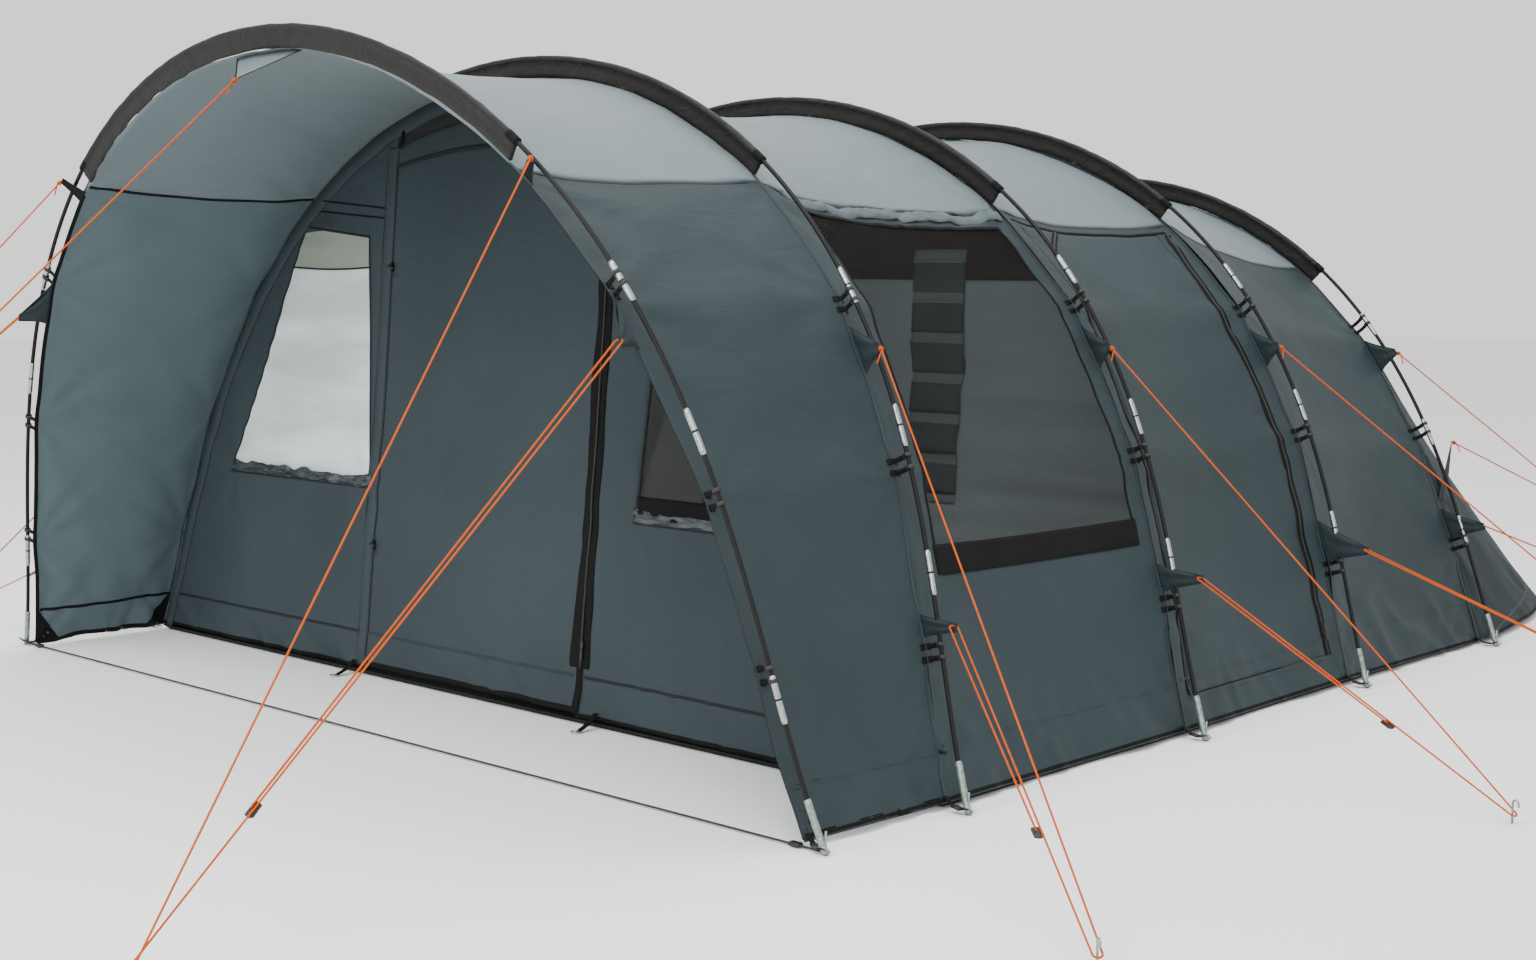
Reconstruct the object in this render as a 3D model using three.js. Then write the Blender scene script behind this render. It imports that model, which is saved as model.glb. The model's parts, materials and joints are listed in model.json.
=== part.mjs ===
// A family tunnel tent on five arched poles: a fly with an open front canopy, a living room with side windows,
// two zipped doors, an inner tent hung in the rear half, a groundsheet, guy ropes and pegs.
// Millimetres, +Z up, the tunnel runs along Y with the open canopy at -Y. The origin is on the ground, in the
// middle of the tent without its guy ropes.
import * as THREE from 'three';
import { mergeVertices } from 'three/addons/utils/BufferGeometryUtils.js';

// ---- driving dimensions -------------------------------------------------------------------------------------
const Y_SHIFT = -2407.3;                                     // puts the middle of the tent's length at y = 0
const ARCH_Y = [0, 524.4, 1667.7, 2706.3, 3728.9];           // where each arch's feet stand along the tunnel
const ARCH_TILT = [-6.284, 5.988, 5.682, 4.598, 6.52];       // lean of each arch in degrees, + leans back
const ARCH_HALF_WIDTH = [2000, 2014.9, 1993.8, 1954.4, 1922.8];
const ARCH_BEND = [[1.6442, 0.6712, -1.1384], [1.6094, 0.6727, -1.0931], [1.6, 0.5746, -0.9873], [1.596, 0.4963, -0.865], [1.6474, -0.0521, -0.4337]];
const POLE_R = 6.5, FOOT_R = 9.5, FOOT_S = 0.922;            // fibreglass pole, steel end tube, where the steel starts
const SLEEVE_S = [9 / 24, 9 / 24, 9 / 24, 9 / 24, 10 / 24];  // the sleeves' ends, as a share of half the arch
const SLEEVE_R = 10.5, SLEEVE_HOLE = 7.8, SLEEVE_DEPTH = 56; // sleeve round the pole, and its depth down to the fly
const FLY_OFF = 60;                                          // the fly hangs this far inside the pole's line
const FLY_T = 3;                                             // panel thickness
const BAY_SAG = [22, 45, 42, 40];                            // how far each bay draws in midway between its arches
const SEAM_S = 0.385, HEM_S = 0.987, SEAM_GAP = 0.0007;
const WINDOW_S = [0.425, 0.800], WINDOW_V = [0.13, 0.93];    // side windows, along the arch and along the bay
const DOOR_S = [0.402, 0.955], DOOR_V = [0.07, 0.90];        // side door in the third bay
const FRONT_DOOR = { x0: -620, x1: 480, h0: 34, h1: 1735, rise: 55 };
const FRONT_WIN = [[705, 655], [1500, 655], [1140, 1515], [725, 1495]]; // right front window, mirrored on the left
const FRONT_OFF = 68;
const REAR_HEM = { s: [0, 0.2, 0.4, 0.5, 0.6, 0.7, 0.8, 0.9, 1], x: [0, 800, 1400, 1580, 1690, 1760, 1800, 1835, 1868], y: [5050, 5035, 4930, 4820, 4630, 4410, 4190, 3980, 3800] };
const INNER_OFF = 132, INNER_Y = 60;
const ROPE_R = 2.5, PEG_R = 3, PEG_H = 58, TURN_R = 11;
const GUYS = {                                               // upper and lower tabs, and the peg, on the ground
  guy_front: { top: [0, -301, 1924], peg: [0, -2450, 0] },
  guy_right_1: { top: [1200, -216, 1669], low: [1530, -218, 1213], peg: [1681, -1658, 0] },
  guy_right_2: { top: [1606, 640, 1180], low: [1940, 566, 470], peg: [2930, -210, 0] },
  guy_right_3: { top: [1560, 1768, 1146], low: [1950, 1705, 473], peg: [3049, 1411, 0] },
  guy_right_4: { top: [1545, 2786, 1119], low: [1930, 2736, 453], peg: [3095, 2815, 0] },
  guy_right_5: { top: [1425, 3851, 1062], low: [1835, 3785, 431], peg: [2416, 4646, 0] },
  guy_left_1: { top: [-1200, -216, 1669], low: [-1530, -218, 1213], peg: [-1690, -1640, 0] },
  guy_left_2: { top: [-1606, 640, 1180], low: [-1940, 566, 470], peg: [-2560, -110, 0] },
  guy_rear: { top: [1585, 4010, 716], peg: [2400, 5200, 0] },
};
const RUNNER_UP = 430;                                       // how far up from the peg a rope's slider sits

// ---- materials ----------------------------------------------------------------------------------------------
const mat = (color, roughness, metalness = 0) => new THREE.MeshStandardMaterial({ color, roughness, metalness, side: THREE.DoubleSide });
const M = {
  roof: mat(0x87969a, 0.75), wall: mat(0x4a585d, 0.8), front: mat(0x434c53, 0.8), trim: mat(0x22221f, 0.7),
  pole: mat(0x1b1c1c, 0.4), window: mat(0xb9c3c6, 0.2), inner: mat(0x55585a, 0.85), ground: mat(0x1f2a26, 0.7),
  rope: mat(0xd4591c, 0.7), plastic: mat(0x141414, 0.5), steel: mat(0x9aa09c, 0.35, 0.9),
};

// ---- geometry helpers ---------------------------------------------------------------------------------------
const N = 240;
const ARCH = ARCH_BEND.map((a, i) => {                       // bend angle a0 s + a1 s^3 + a2 s^5, s = 0 at the top
  const th = [], X = [0], Z = [0];
  for (let k = 0; k <= N; k++) { const s = k / N; th.push(a[0] * s + a[1] * s ** 3 + a[2] * s ** 5); }
  for (let k = 1; k <= N; k++) {
    X.push(X[k - 1] + (Math.cos(th[k]) + Math.cos(th[k - 1])) / 2 / N);
    Z.push(Z[k - 1] + (Math.sin(th[k]) + Math.sin(th[k - 1])) / 2 / N);
  }
  const L = ARCH_HALF_WIDTH[i] / X[N];
  return { th, x: X.map((v) => v * L), h: Z.map((v) => (Z[N] - v) * L), L };
});
const lut = (arr, t) => { const k = Math.min(Math.max(t, 0), 1) * (arr.length - 1), i = Math.min(Math.floor(k), arr.length - 2); return arr[i] + (arr[i + 1] - arr[i]) * (k - i); };
const archPlane = (i, s, off = 0) => {                       // point of an arch in its own plane: [x, height]
  const A = ARCH[i], u = Math.abs(s), th = lut(A.th, u);
  return [Math.sign(s) * (lut(A.x, u) - off * Math.sin(th)), lut(A.h, u) - off * Math.cos(th)];
};
const lean = (i, x, h, w = 0) => {                           // from an arch's plane into the tent's frame
  const t = THREE.MathUtils.degToRad(ARCH_TILT[i]);
  return new THREE.Vector3(x, ARCH_Y[i] + Y_SHIFT + h * Math.sin(t) + w * Math.cos(t), h * Math.cos(t) - w * Math.sin(t));
};
const archAt = (i, s, off = 0, w = 0) => { const [x, h] = archPlane(i, s, off); return lean(i, x, h, w); };
const flyAt = (b, s, v, off = FLY_OFF, sag = BAY_SAG[b]) => {
  const o = off + sag * 4 * v * (1 - v) * Math.min(1, (1.02 - Math.abs(s)) * 6);
  return archAt(b, s, o).lerp(archAt(b + 1, s, o), v);
};
const hem = (s, z = 22) => {
  const u = Math.abs(s), H = REAR_HEM; let i = 0; while (i < H.s.length - 2 && u > H.s[i + 1]) i++;
  const t = (u - H.s[i]) / (H.s[i + 1] - H.s[i]);
  return new THREE.Vector3(Math.sign(s) * (H.x[i] + (H.x[i + 1] - H.x[i]) * t), H.y[i] + (H.y[i + 1] - H.y[i]) * t + Y_SHIFT, z);
};
const rearAt = (s, w, off = FLY_OFF, back = 0) => {
  const a = archAt(4, s, off), b = hem(s, 22), d = b.clone().sub(a);
  const p = a.clone().addScaledVector(d, w);
  p.z -= 55 * 4 * w * (1 - w) * Math.cos(Math.min(Math.abs(s), 1) * Math.PI / 2);
  p.x -= Math.sign(s) * back * Math.abs(Math.sin(Math.min(Math.abs(s) * 1.6, Math.PI / 2))); p.y -= back;
  return p;
};
function solid(pos, idx) {
  let g = new THREE.BufferGeometry();
  g.setAttribute('position', new THREE.Float32BufferAttribute(pos, 3)); g.setIndex(idx);
  g = mergeVertices(g, 1e-3);
  const p = g.attributes.position, ix = g.index.array; let v6 = 0;
  const a = new THREE.Vector3(), b = new THREE.Vector3(), c = new THREE.Vector3();
  for (let k = 0; k < ix.length; k += 3) {
    a.fromBufferAttribute(p, ix[k]); b.fromBufferAttribute(p, ix[k + 1]); c.fromBufferAttribute(p, ix[k + 2]);
    v6 += a.dot(b.clone().cross(c));
  }
  if (v6 < 0) for (let k = 0; k < ix.length; k += 3) { const t = ix[k + 1]; ix[k + 1] = ix[k + 2]; ix[k + 2] = t; }
  g.computeVertexNormals();
  return g;
}
function sheet(fn, us, vs, t = FLY_T, keep = () => true) {   // a curved sheet of thickness t over a grid, with holes
  const nu = us.length, nv = vs.length, pos = [], idx = [], out = [], inn = [];
  const e = 1e-3;
  for (let i = 0; i < nu; i++) for (let j = 0; j < nv; j++) {
    const p = fn(us[i], vs[j]);
    const du = fn(us[i] + e, vs[j]).sub(fn(us[i] - e, vs[j])), dv = fn(us[i], vs[j] + e).sub(fn(us[i], vs[j] - e));
    const n = du.cross(dv).normalize();
    out.push(p); inn.push(p.clone().addScaledVector(n, t));
  }
  for (const q of [...out, ...inn]) pos.push(q.x, q.y, q.z);
  const O = (i, j) => i * nv + j, I = (i, j) => nu * nv + i * nv + j;
  const has = (i, j) => i >= 0 && j >= 0 && i < nu - 1 && j < nv - 1 && keep((us[i] + us[i + 1]) / 2, (vs[j] + vs[j + 1]) / 2);
  const quad = (a, b, c, d) => idx.push(a, b, c, a, c, d);
  for (let i = 0; i < nu - 1; i++) for (let j = 0; j < nv - 1; j++) {
    if (!has(i, j)) continue;
    quad(O(i, j), O(i, j + 1), O(i + 1, j + 1), O(i + 1, j)); quad(I(i, j), I(i + 1, j), I(i + 1, j + 1), I(i, j + 1));
    if (!has(i - 1, j)) quad(O(i, j), I(i, j), I(i, j + 1), O(i, j + 1));
    if (!has(i + 1, j)) quad(O(i + 1, j), O(i + 1, j + 1), I(i + 1, j + 1), I(i + 1, j));
    if (!has(i, j - 1)) quad(O(i, j), O(i + 1, j), I(i + 1, j), I(i, j));
    if (!has(i, j + 1)) quad(O(i, j + 1), I(i, j + 1), I(i + 1, j + 1), O(i + 1, j + 1));
  }
  return solid(pos, idx);
}
function sweep(rings) {                                      // a closed skin over rings of equal point counts
  const n = rings[0].length, pos = [], idx = [];
  for (const r of rings) for (const p of r) pos.push(p.x, p.y, p.z);
  for (let k = 0; k < rings.length - 1; k++) for (let j = 0; j < n; j++) {
    const a = k * n + j, b = k * n + (j + 1) % n, c = a + n, d = b + n; idx.push(a, b, d, a, d, c);
  }
  const flat = (r) => {                                      // triangles of an end cap, in the ring's own plane
    const o = r[0], ex = r[1].clone().sub(o).normalize(); let nz = new THREE.Vector3();
    for (let j = 0; j < n; j++) nz.add(r[j].clone().sub(o).cross(r[(j + 1) % n].clone().sub(o)));
    nz.normalize(); const ey = nz.clone().cross(ex);
    const pts = r.map((p) => { const d = p.clone().sub(o); return new THREE.Vector2(d.dot(ex), d.dot(ey)); });
    return THREE.ShapeUtils.triangulateShape(pts, []);
  };
  const last = (rings.length - 1) * n;
  for (const [a, b, c] of flat(rings[0])) idx.push(a, c, b);
  for (const [a, b, c] of flat(rings[rings.length - 1])) idx.push(last + a, last + b, last + c);
  return solid(pos, idx);
}
const circle = (sides) => Array.from({ length: sides }, (_, k) => [Math.cos(2 * Math.PI * k / sides), Math.sin(2 * Math.PI * k / sides)]);
function tube(points, radius, sides = 8, ref = new THREE.Vector3(0, 0, 1), section = null) {
  const n = points.length, rings = [];
  let N0 = null;
  for (let k = 0; k < n; k++) {
    const t = points[Math.min(k + 1, n - 1)].clone().sub(points[Math.max(k - 1, 0)]).normalize();
    if (!N0) { N0 = ref.clone().addScaledVector(t, -ref.dot(t)).normalize(); } else { N0 = N0.clone().addScaledVector(t, -N0.dot(t)).normalize(); }
    const B = t.clone().cross(N0), r = Array.isArray(radius) ? radius[k] : radius;
    rings.push((section || circle(sides)).map(([p, q]) => points[k].clone().addScaledVector(N0, p * r).addScaledVector(B, q * r)));
  }
  return sweep(rings);
}
const range = (a, b, n) => Array.from({ length: n + 1 }, (_, k) => a + (b - a) * k / n);

// ---- the assembly -------------------------------------------------------------------------------------------
const tent = new THREE.Group();
const add = (name, geometry, material, parent = tent) => { const m = new THREE.Mesh(geometry, material); m.name = name; parent.add(m); return m; };

// poles: a fibreglass pole in a steel tube at each end, standing on the ground
const POLE_S = [...range(-1, -FOOT_S, 1), ...range(-0.918, -10 / 24, 6), ...range(-9 / 24, 9 / 24, 18), ...range(10 / 24, 0.918, 6), ...range(FOOT_S, 1, 1)];
for (let i = 0; i < 5; i++) {
  const t = THREE.MathUtils.degToRad(ARCH_TILT[i]), across = new THREE.Vector3(0, Math.cos(t), -Math.sin(t));
  const rings = POLE_S.map((s) => {
    const u = Math.abs(s), r = u >= FOOT_S - 1e-6 ? FOOT_R : POLE_R, th = Math.sign(s) * lut(ARCH[i].th, u);
    const c = archAt(i, s), out = lean(i, Math.sin(th), Math.cos(th)).sub(lean(i, 0, 0));
    if (u > 0.999) c.z = 3;
    return circle(6).map(([p, q]) => { const v = c.clone().addScaledVector(out, p * r).addScaledVector(across, q * r); if (u > 0.999) v.z = 0; return v; });
  });
  add(`pole_${i + 1}`, sweep(rings), M.pole);
}

// sleeves: cloth folded over the top of each pole, closed below it into a fin that the fly hangs from
for (let i = 0; i < 5; i++) {
  const t = THREE.MathUtils.degToRad(ARCH_TILT[i]), across = new THREE.Vector3(0, Math.cos(t), -Math.sin(t));
  const arc = (r, a0, a1, n) => range(a0, a1, n).map((a) => [r * Math.sin(a * Math.PI / 180), r * Math.cos(a * Math.PI / 180)]);
  const section = [[-4.5, -SLEEVE_DEPTH], ...arc(SLEEVE_R, -150, 150, 6), [4.5, -SLEEVE_DEPTH], [2, -SLEEVE_DEPTH], ...arc(SLEEVE_HOLE, 160, -160, 6), [-2, -SLEEVE_DEPTH]];
  const n = Math.round(SLEEVE_S[i] * 24) * 2;
  const rings = range(-SLEEVE_S[i], SLEEVE_S[i], n).map((s) => {
    const th = Math.sign(s) * lut(ARCH[i].th, Math.abs(s));
    const c = archAt(i, s), out = lean(i, Math.sin(th), Math.cos(th)).sub(lean(i, 0, 0));
    return section.map(([p, q]) => c.clone().addScaledVector(across, p).addScaledVector(out, q));
  });
  add(`sleeve_${i + 1}`, sweep(rings), M.trim);
}

// the fly, bay by bay: a roof panel over the top and a wall down each side
const BAY = ['canopy', 'living', 'bedroom_front', 'bedroom_rear'];
const S_ROOF = range(-SEAM_S + SEAM_GAP, SEAM_S - SEAM_GAP, 12);
const S_WALL = range(SEAM_S + SEAM_GAP, HEM_S, 8);
const V = [0.018, 0.26, 0.5, 0.74, 0.982];
const G = 0.0015;
for (let b = 0; b < 4; b++) {
  add(`${BAY[b]}_roof`, sheet((s, v) => flyAt(b, s, v), S_ROOF, V), M.roof);
  for (const side of [-1, 1]) {
    const name = `${BAY[b]}_${side < 0 ? 'left' : 'right'}`;
    const fn = (s, v) => flyAt(b, side * s, v);
    if (b === 1) {
      const us = [S_WALL[0], WINDOW_S[0], ...range(WINDOW_S[0], WINDOW_S[1], 4).slice(1, -1), WINDOW_S[1], 0.89, HEM_S];
      const vs = [V[0], WINDOW_V[0], 0.4, 0.66, WINDOW_V[1], V[4]];
      add(name, sheet(fn, us, vs, FLY_T, (s, v) => !(s > WINDOW_S[0] && s < WINDOW_S[1] && v > WINDOW_V[0] && v < WINDOW_V[1])), M.wall);
      add(side < 0 ? 'window_left' : 'window_right', sheet(fn, range(WINDOW_S[0] + G, WINDOW_S[1] - G, 4), [WINDOW_V[0] + 0.004, 0.4, 0.66, WINDOW_V[1] - 0.004], FLY_T), M.window);
    } else if (b === 2 && side > 0) {
      const us = [S_WALL[0], DOOR_S[0], ...range(DOOR_S[0], DOOR_S[1], 6).slice(1, -1), DOOR_S[1], HEM_S];
      const vs = [V[0], DOOR_V[0], 0.36, 0.64, DOOR_V[1], V[4]];
      add(name, sheet(fn, us, vs, FLY_T, (s, v) => !(s > DOOR_S[0] && s < DOOR_S[1] && v > DOOR_V[0] && v < DOOR_V[1])), M.wall);
      add('side_door', sheet(fn, range(DOOR_S[0] + 0.0025, DOOR_S[1] - G, 6), [DOOR_V[0] + 0.005, 0.36, 0.64, DOOR_V[1] - 0.005], FLY_T), M.wall);
    } else add(name, sheet(fn, S_WALL, V), M.wall);
  }
}
add('rear_wall', sheet((s, w) => rearAt(s, w), [-0.985, -0.9, -0.8, -0.7, -0.6, -0.5, -0.4, -0.3, -0.2, -0.1, 0, 0.1, 0.2, 0.3, 0.4, 0.5, 0.6, 0.7, 0.8, 0.9, 0.985], [0.02, 0.2, 0.4, 0.6, 0.8, 1]), M.wall);

// the front wall in the second arch's plane: two walls with windows, a vent band over the door, and the door
const inPlane = (i, w0, shape, depth, material, name, holes = []) => {
  const s = new THREE.Shape(shape.map(([x, h]) => new THREE.Vector2(x, h)));
  for (const h of holes) s.holes.push(new THREE.Path(h.map(([x, y]) => new THREE.Vector2(x, y))));
  let g = new THREE.ExtrudeGeometry(s, { depth, bevelEnabled: false, steps: 1 });
  g.deleteAttribute('normal'); g.deleteAttribute('uv'); g = mergeVertices(g, 1e-3);
  const p = g.attributes.position, v = new THREE.Vector3();
  for (let k = 0; k < p.count; k++) { v.fromBufferAttribute(p, k); v.copy(lean(i, v.x, v.y, w0 + v.z)); p.setXYZ(k, v.x, v.y, v.z); }
  return add(name, solid(Array.from(p.array), Array.from(g.index.array)), material);
};
const rim = (i, off) => range(0, HEM_S, 34).map((s) => archPlane(i, s, off));           // half outline, top to foot
const rimAt = (i, x, off) => { let best = 0; for (const [px, h] of range(0, 1, 600).map((s) => archPlane(i, s, off))) if (px <= x) best = h; return best; };
const doorTop = (x) => { const { x0, x1, h1, rise } = FRONT_DOOR, m = (x0 + x1) / 2, r = (x1 - x0) / 2; return h1 + rise * (1 - ((x - m) / r) ** 2); };
const FD = FRONT_DOOR, CUT = 3;
{
  const right = rim(1, FRONT_OFF).filter(([x, h]) => x > FD.x1 + CUT + 20 && h > 40);
  const bottom = 26, xr = right[right.length - 1][0];
  const outR = [[FD.x1 + CUT, bottom], [xr + 6, bottom], ...right.reverse(), [FD.x1 + CUT, rimAt(1, FD.x1 + CUT, FRONT_OFF)]];
  inPlane(1, -1.5, outR, FLY_T, M.front, 'front_wall_right', [FRONT_WIN.slice().reverse()]);
  const left = rim(1, FRONT_OFF).filter(([x, h]) => x > -FD.x0 + CUT + 20 && h > 40);
  const outL = [[-FD.x0 + CUT, bottom], [xr + 6, bottom], ...left.reverse(), [-FD.x0 + CUT, rimAt(1, -FD.x0 + CUT, FRONT_OFF)]].map(([x, h]) => [-x, h]).reverse();
  inPlane(1, -1.5, outL, FLY_T, M.front, 'front_wall_left', [FRONT_WIN.map(([x, h]) => [-x, h])]);
  const inset = (poly, d) => { const c = poly.reduce((a, p) => [a[0] + p[0] / poly.length, a[1] + p[1] / poly.length], [0, 0]); return poly.map(([x, h]) => { const l = Math.hypot(x - c[0], h - c[1]); return [x - (x - c[0]) / l * d, h - (h - c[1]) / l * d]; }); };
  inPlane(1, -1.5, inset(FRONT_WIN, 5), FLY_T, M.window, 'front_window_right');
  inPlane(1, -1.5, inset(FRONT_WIN.map(([x, h]) => [-x, h]).reverse(), 5), FLY_T, M.window, 'front_window_left');
  const xs = range(FD.x0, FD.x1, 10);
  inPlane(1, -1.5, [[FD.x0, FD.h0], [FD.x1, FD.h0], ...xs.slice().reverse().map((x) => [x, doorTop(x)])], FLY_T, M.front, 'front_door');
  inPlane(1, -1.5, [...xs.map((x) => [x, doorTop(x) + CUT]), ...xs.slice().reverse().map((x) => [x, rimAt(1, Math.abs(x), FRONT_OFF)])], FLY_T, M.trim, 'front_vent');
}

// groundsheet: flat on the ground under the living room and the bedrooms
{
  const side = [];
  for (const [i, dy] of [[1, 14], [2, 0], [3, 0], [4, 0]]) side.push([archPlane(i, 0.985, 88)[0], ARCH_Y[i] + Y_SHIFT + dy]);
  for (const s of [0.9, 0.8, 0.7, 0.6, 0.5, 0.4, 0.2]) { const p = hem(s); side.push([p.x - 28, p.y - 28]); }
  const poly = [...side, ...side.slice().reverse().map(([x, y]) => [-x, y])];
  const g = new THREE.ExtrudeGeometry(new THREE.Shape(poly.map(([x, y]) => new THREE.Vector2(x, y))), { depth: 3, bevelEnabled: false, steps: 1 });
  g.deleteAttribute('normal'); g.deleteAttribute('uv');
  add('groundsheet', mergeVertices(g, 1e-3), M.ground);
}

// the inner tent: a front wall between living room and bedrooms, its roof and sides, and its rear
{
  const f = rim(3, INNER_OFF).filter(([, h]) => h > 30), x = f[f.length - 1][0] + 4;
  const half = f.filter(([px]) => px > 20);
  inPlane(3, INNER_Y, [[-x, 16], [x, 16], ...half.slice().reverse(), ...half.map(([px, h]) => [-px, h])], 2.5, M.inner, 'inner_front');
  add('inner_body', sheet((s, v) => flyAt(3, s, v, INNER_OFF, 20), range(-0.972, 0.972, 18), [0.09, 0.5, 0.97], 2.5), M.inner);
  add('inner_rear', sheet((s, w) => rearAt(s, w, INNER_OFF + 8, 110 * w), [-0.93, -0.86, -0.76, -0.66, -0.54, -0.42, -0.3, -0.15, 0, 0.15, 0.3, 0.42, 0.54, 0.66, 0.76, 0.86, 0.93], [0.05, 0.35, 0.65, 0.955], 2.5), M.inner);
}

// zip sliders: a slider body with its pull, in front of the front door's zip and the side door's rear zip
const slider = () => {
  const s = new THREE.Shape([[-6, 0], [-4, -10], [-3, -16], [-5, -20], [-5, -44], [5, -44], [5, -20], [3, -16], [4, -10], [6, 0], [7, 8], [4, 14], [-4, 14], [-7, 8]].map(([x, y]) => new THREE.Vector2(x, y)));
  const g = new THREE.ExtrudeGeometry(s, { depth: 4, bevelEnabled: false, steps: 1 });
  g.deleteAttribute('normal'); g.deleteAttribute('uv'); return mergeVertices(g, 1e-3);
};
{
  const t = THREE.MathUtils.degToRad(ARCH_TILT[1]), m = add('front_zip_slider', slider(), M.plastic);
  const up = new THREE.Vector3(0, Math.sin(t), Math.cos(t)), out = new THREE.Vector3(0, -Math.cos(t), Math.sin(t)), x = up.clone().cross(out);
  m.quaternion.setFromRotationMatrix(new THREE.Matrix4().makeBasis(x, up, out));
  m.position.copy(lean(1, FD.x1 + CUT + 9, 240)).addScaledVector(out, 3);
  const a = flyAt(2, 0.935, 0.912), b = flyAt(2, 0.80, 0.912), up2 = b.clone().sub(a).normalize();
  const n = flyAt(2, 0.87, 0.912, FLY_OFF - 10).sub(flyAt(2, 0.87, 0.912)).normalize(), x2 = up2.clone().cross(n).normalize(), out2 = x2.clone().cross(up2);
  const m2 = add('side_zip_slider', slider(), M.plastic);
  m2.quaternion.setFromRotationMatrix(new THREE.Matrix4().makeBasis(x2, up2, out2));
  m2.position.copy(a).addScaledVector(out2, 9).addScaledVector(up2, 30);
}

// the strap between the front arch's feet
add('ground_strap', tube([new THREE.Vector3(-1984, ARCH_Y[0] + Y_SHIFT, 6), new THREE.Vector3(0, ARCH_Y[0] + Y_SHIFT, 6), new THREE.Vector3(1984, ARCH_Y[0] + Y_SHIFT, 6)], 3, 8), M.trim);

// guy ropes: from the upper tab down round the peg, up through the lower tab's ring and back to the slider
const V3 = (p) => new THREE.Vector3(p[0], p[1] + Y_SHIFT, p[2]);
const runnerAt = {};
for (const [name, g] of Object.entries(GUYS)) {
  const top = V3(g.top), peg = V3(g.peg), eye = peg.clone().add(new THREE.Vector3(0, 0, 26));
  const low = g.low ? V3(g.low) : null;
  let back = low ? low : top.clone();
  const pts = [top];
  if (low) {
    const u1 = top.clone().sub(eye).normalize(), dir = low.clone().sub(eye).normalize(), up = u1.clone().add(dir).normalize();
    const s0 = up.clone().cross(new THREE.Vector3(0, 0, 1)).normalize();
    pts.push(...range(0, Math.PI, 6).map((a) => eye.clone().addScaledVector(s0, TURN_R * Math.cos(a)).addScaledVector(up, -TURN_R * Math.sin(a))));
    const c2 = low.clone().addScaledVector(s0, -TURN_R);
    pts.push(...range(0, Math.PI, 5).map((a) => c2.clone().addScaledVector(s0, TURN_R * Math.cos(a)).addScaledVector(dir, TURN_R * Math.sin(a))));
    const end = eye.clone().addScaledVector(dir, RUNNER_UP).addScaledVector(s0, -TURN_R - 8);
    pts.push(end);
    runnerAt[name] = { at: end.clone().addScaledVector(s0, 4), dir, away: s0.clone() };
  } else {
    const up = top.clone().sub(eye).normalize(), s0 = up.clone().cross(new THREE.Vector3(0, 0, 1)).normalize();
    const down = eye.clone().addScaledVector(s0, TURN_R);
    pts.push(...range(0, Math.PI, 6).map((a) => eye.clone().addScaledVector(s0, TURN_R * Math.cos(a)).addScaledVector(up, -TURN_R * Math.sin(a))));
    pts.push(eye.clone().addScaledVector(up, RUNNER_UP).addScaledVector(s0, -TURN_R));
  }
  add(name, tube(pts, ROPE_R, 8), M.rope);
  // the peg's head above the ground: a shank that stands upright and bends over as a hook
  const lead = back.clone().sub(peg).setZ(0).normalize();
  const hook = [[0, 0], [0, PEG_H - 6], [3, PEG_H], [9, PEG_H + 3], [15, PEG_H], [18, PEG_H - 6], [18, PEG_H - 14]].map(([o, z]) => peg.clone().addScaledVector(lead, -o).add(new THREE.Vector3(0, 0, z)));
  add(name.replace('guy', 'peg'), tube(hook, PEG_R, 6, lead), M.steel);
}
// the sliders that set each rope's tension
for (const k of [1, 2, 3]) {
  const { at, dir, away } = runnerAt[`guy_right_${k}`];
  const z = dir.clone().cross(away).normalize(), s = new THREE.Shape([[-16, -12], [16, -12], [20, 0], [16, 12], [-16, 12], [-20, 0]].map(([x, y]) => new THREE.Vector2(x, y)));
  const g = new THREE.ExtrudeGeometry(s, { depth: 5, bevelEnabled: false, steps: 1 }); g.deleteAttribute('normal'); g.deleteAttribute('uv');
  const m = add(`runner_right_${k}`, mergeVertices(g, 1e-3), M.plastic);
  m.quaternion.setFromRotationMatrix(new THREE.Matrix4().makeBasis(dir, away, z));
  m.position.copy(at).addScaledVector(z, ROPE_R + 0.6);
}

export default tent;
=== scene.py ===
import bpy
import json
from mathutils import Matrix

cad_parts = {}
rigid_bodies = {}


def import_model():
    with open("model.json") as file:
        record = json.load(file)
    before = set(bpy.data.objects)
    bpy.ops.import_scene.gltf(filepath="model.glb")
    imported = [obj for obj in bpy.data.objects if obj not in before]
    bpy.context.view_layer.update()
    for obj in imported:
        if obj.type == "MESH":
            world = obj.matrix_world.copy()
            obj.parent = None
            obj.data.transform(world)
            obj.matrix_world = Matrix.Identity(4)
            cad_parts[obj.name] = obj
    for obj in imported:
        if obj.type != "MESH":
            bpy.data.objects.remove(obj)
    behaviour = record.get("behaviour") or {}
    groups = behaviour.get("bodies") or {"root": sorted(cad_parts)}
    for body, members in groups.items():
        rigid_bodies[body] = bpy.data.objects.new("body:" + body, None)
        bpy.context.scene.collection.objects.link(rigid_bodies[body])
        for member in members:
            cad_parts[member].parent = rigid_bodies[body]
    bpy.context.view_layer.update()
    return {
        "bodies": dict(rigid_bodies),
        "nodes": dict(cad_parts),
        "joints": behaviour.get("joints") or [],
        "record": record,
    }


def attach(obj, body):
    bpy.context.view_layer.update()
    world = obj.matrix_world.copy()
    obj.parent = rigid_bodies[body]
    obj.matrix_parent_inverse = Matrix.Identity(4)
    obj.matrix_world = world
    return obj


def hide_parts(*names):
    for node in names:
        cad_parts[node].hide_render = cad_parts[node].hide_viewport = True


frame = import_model()
import bpy, math, json
import numpy as np

scene = bpy.context.scene
R = math.radians

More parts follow.
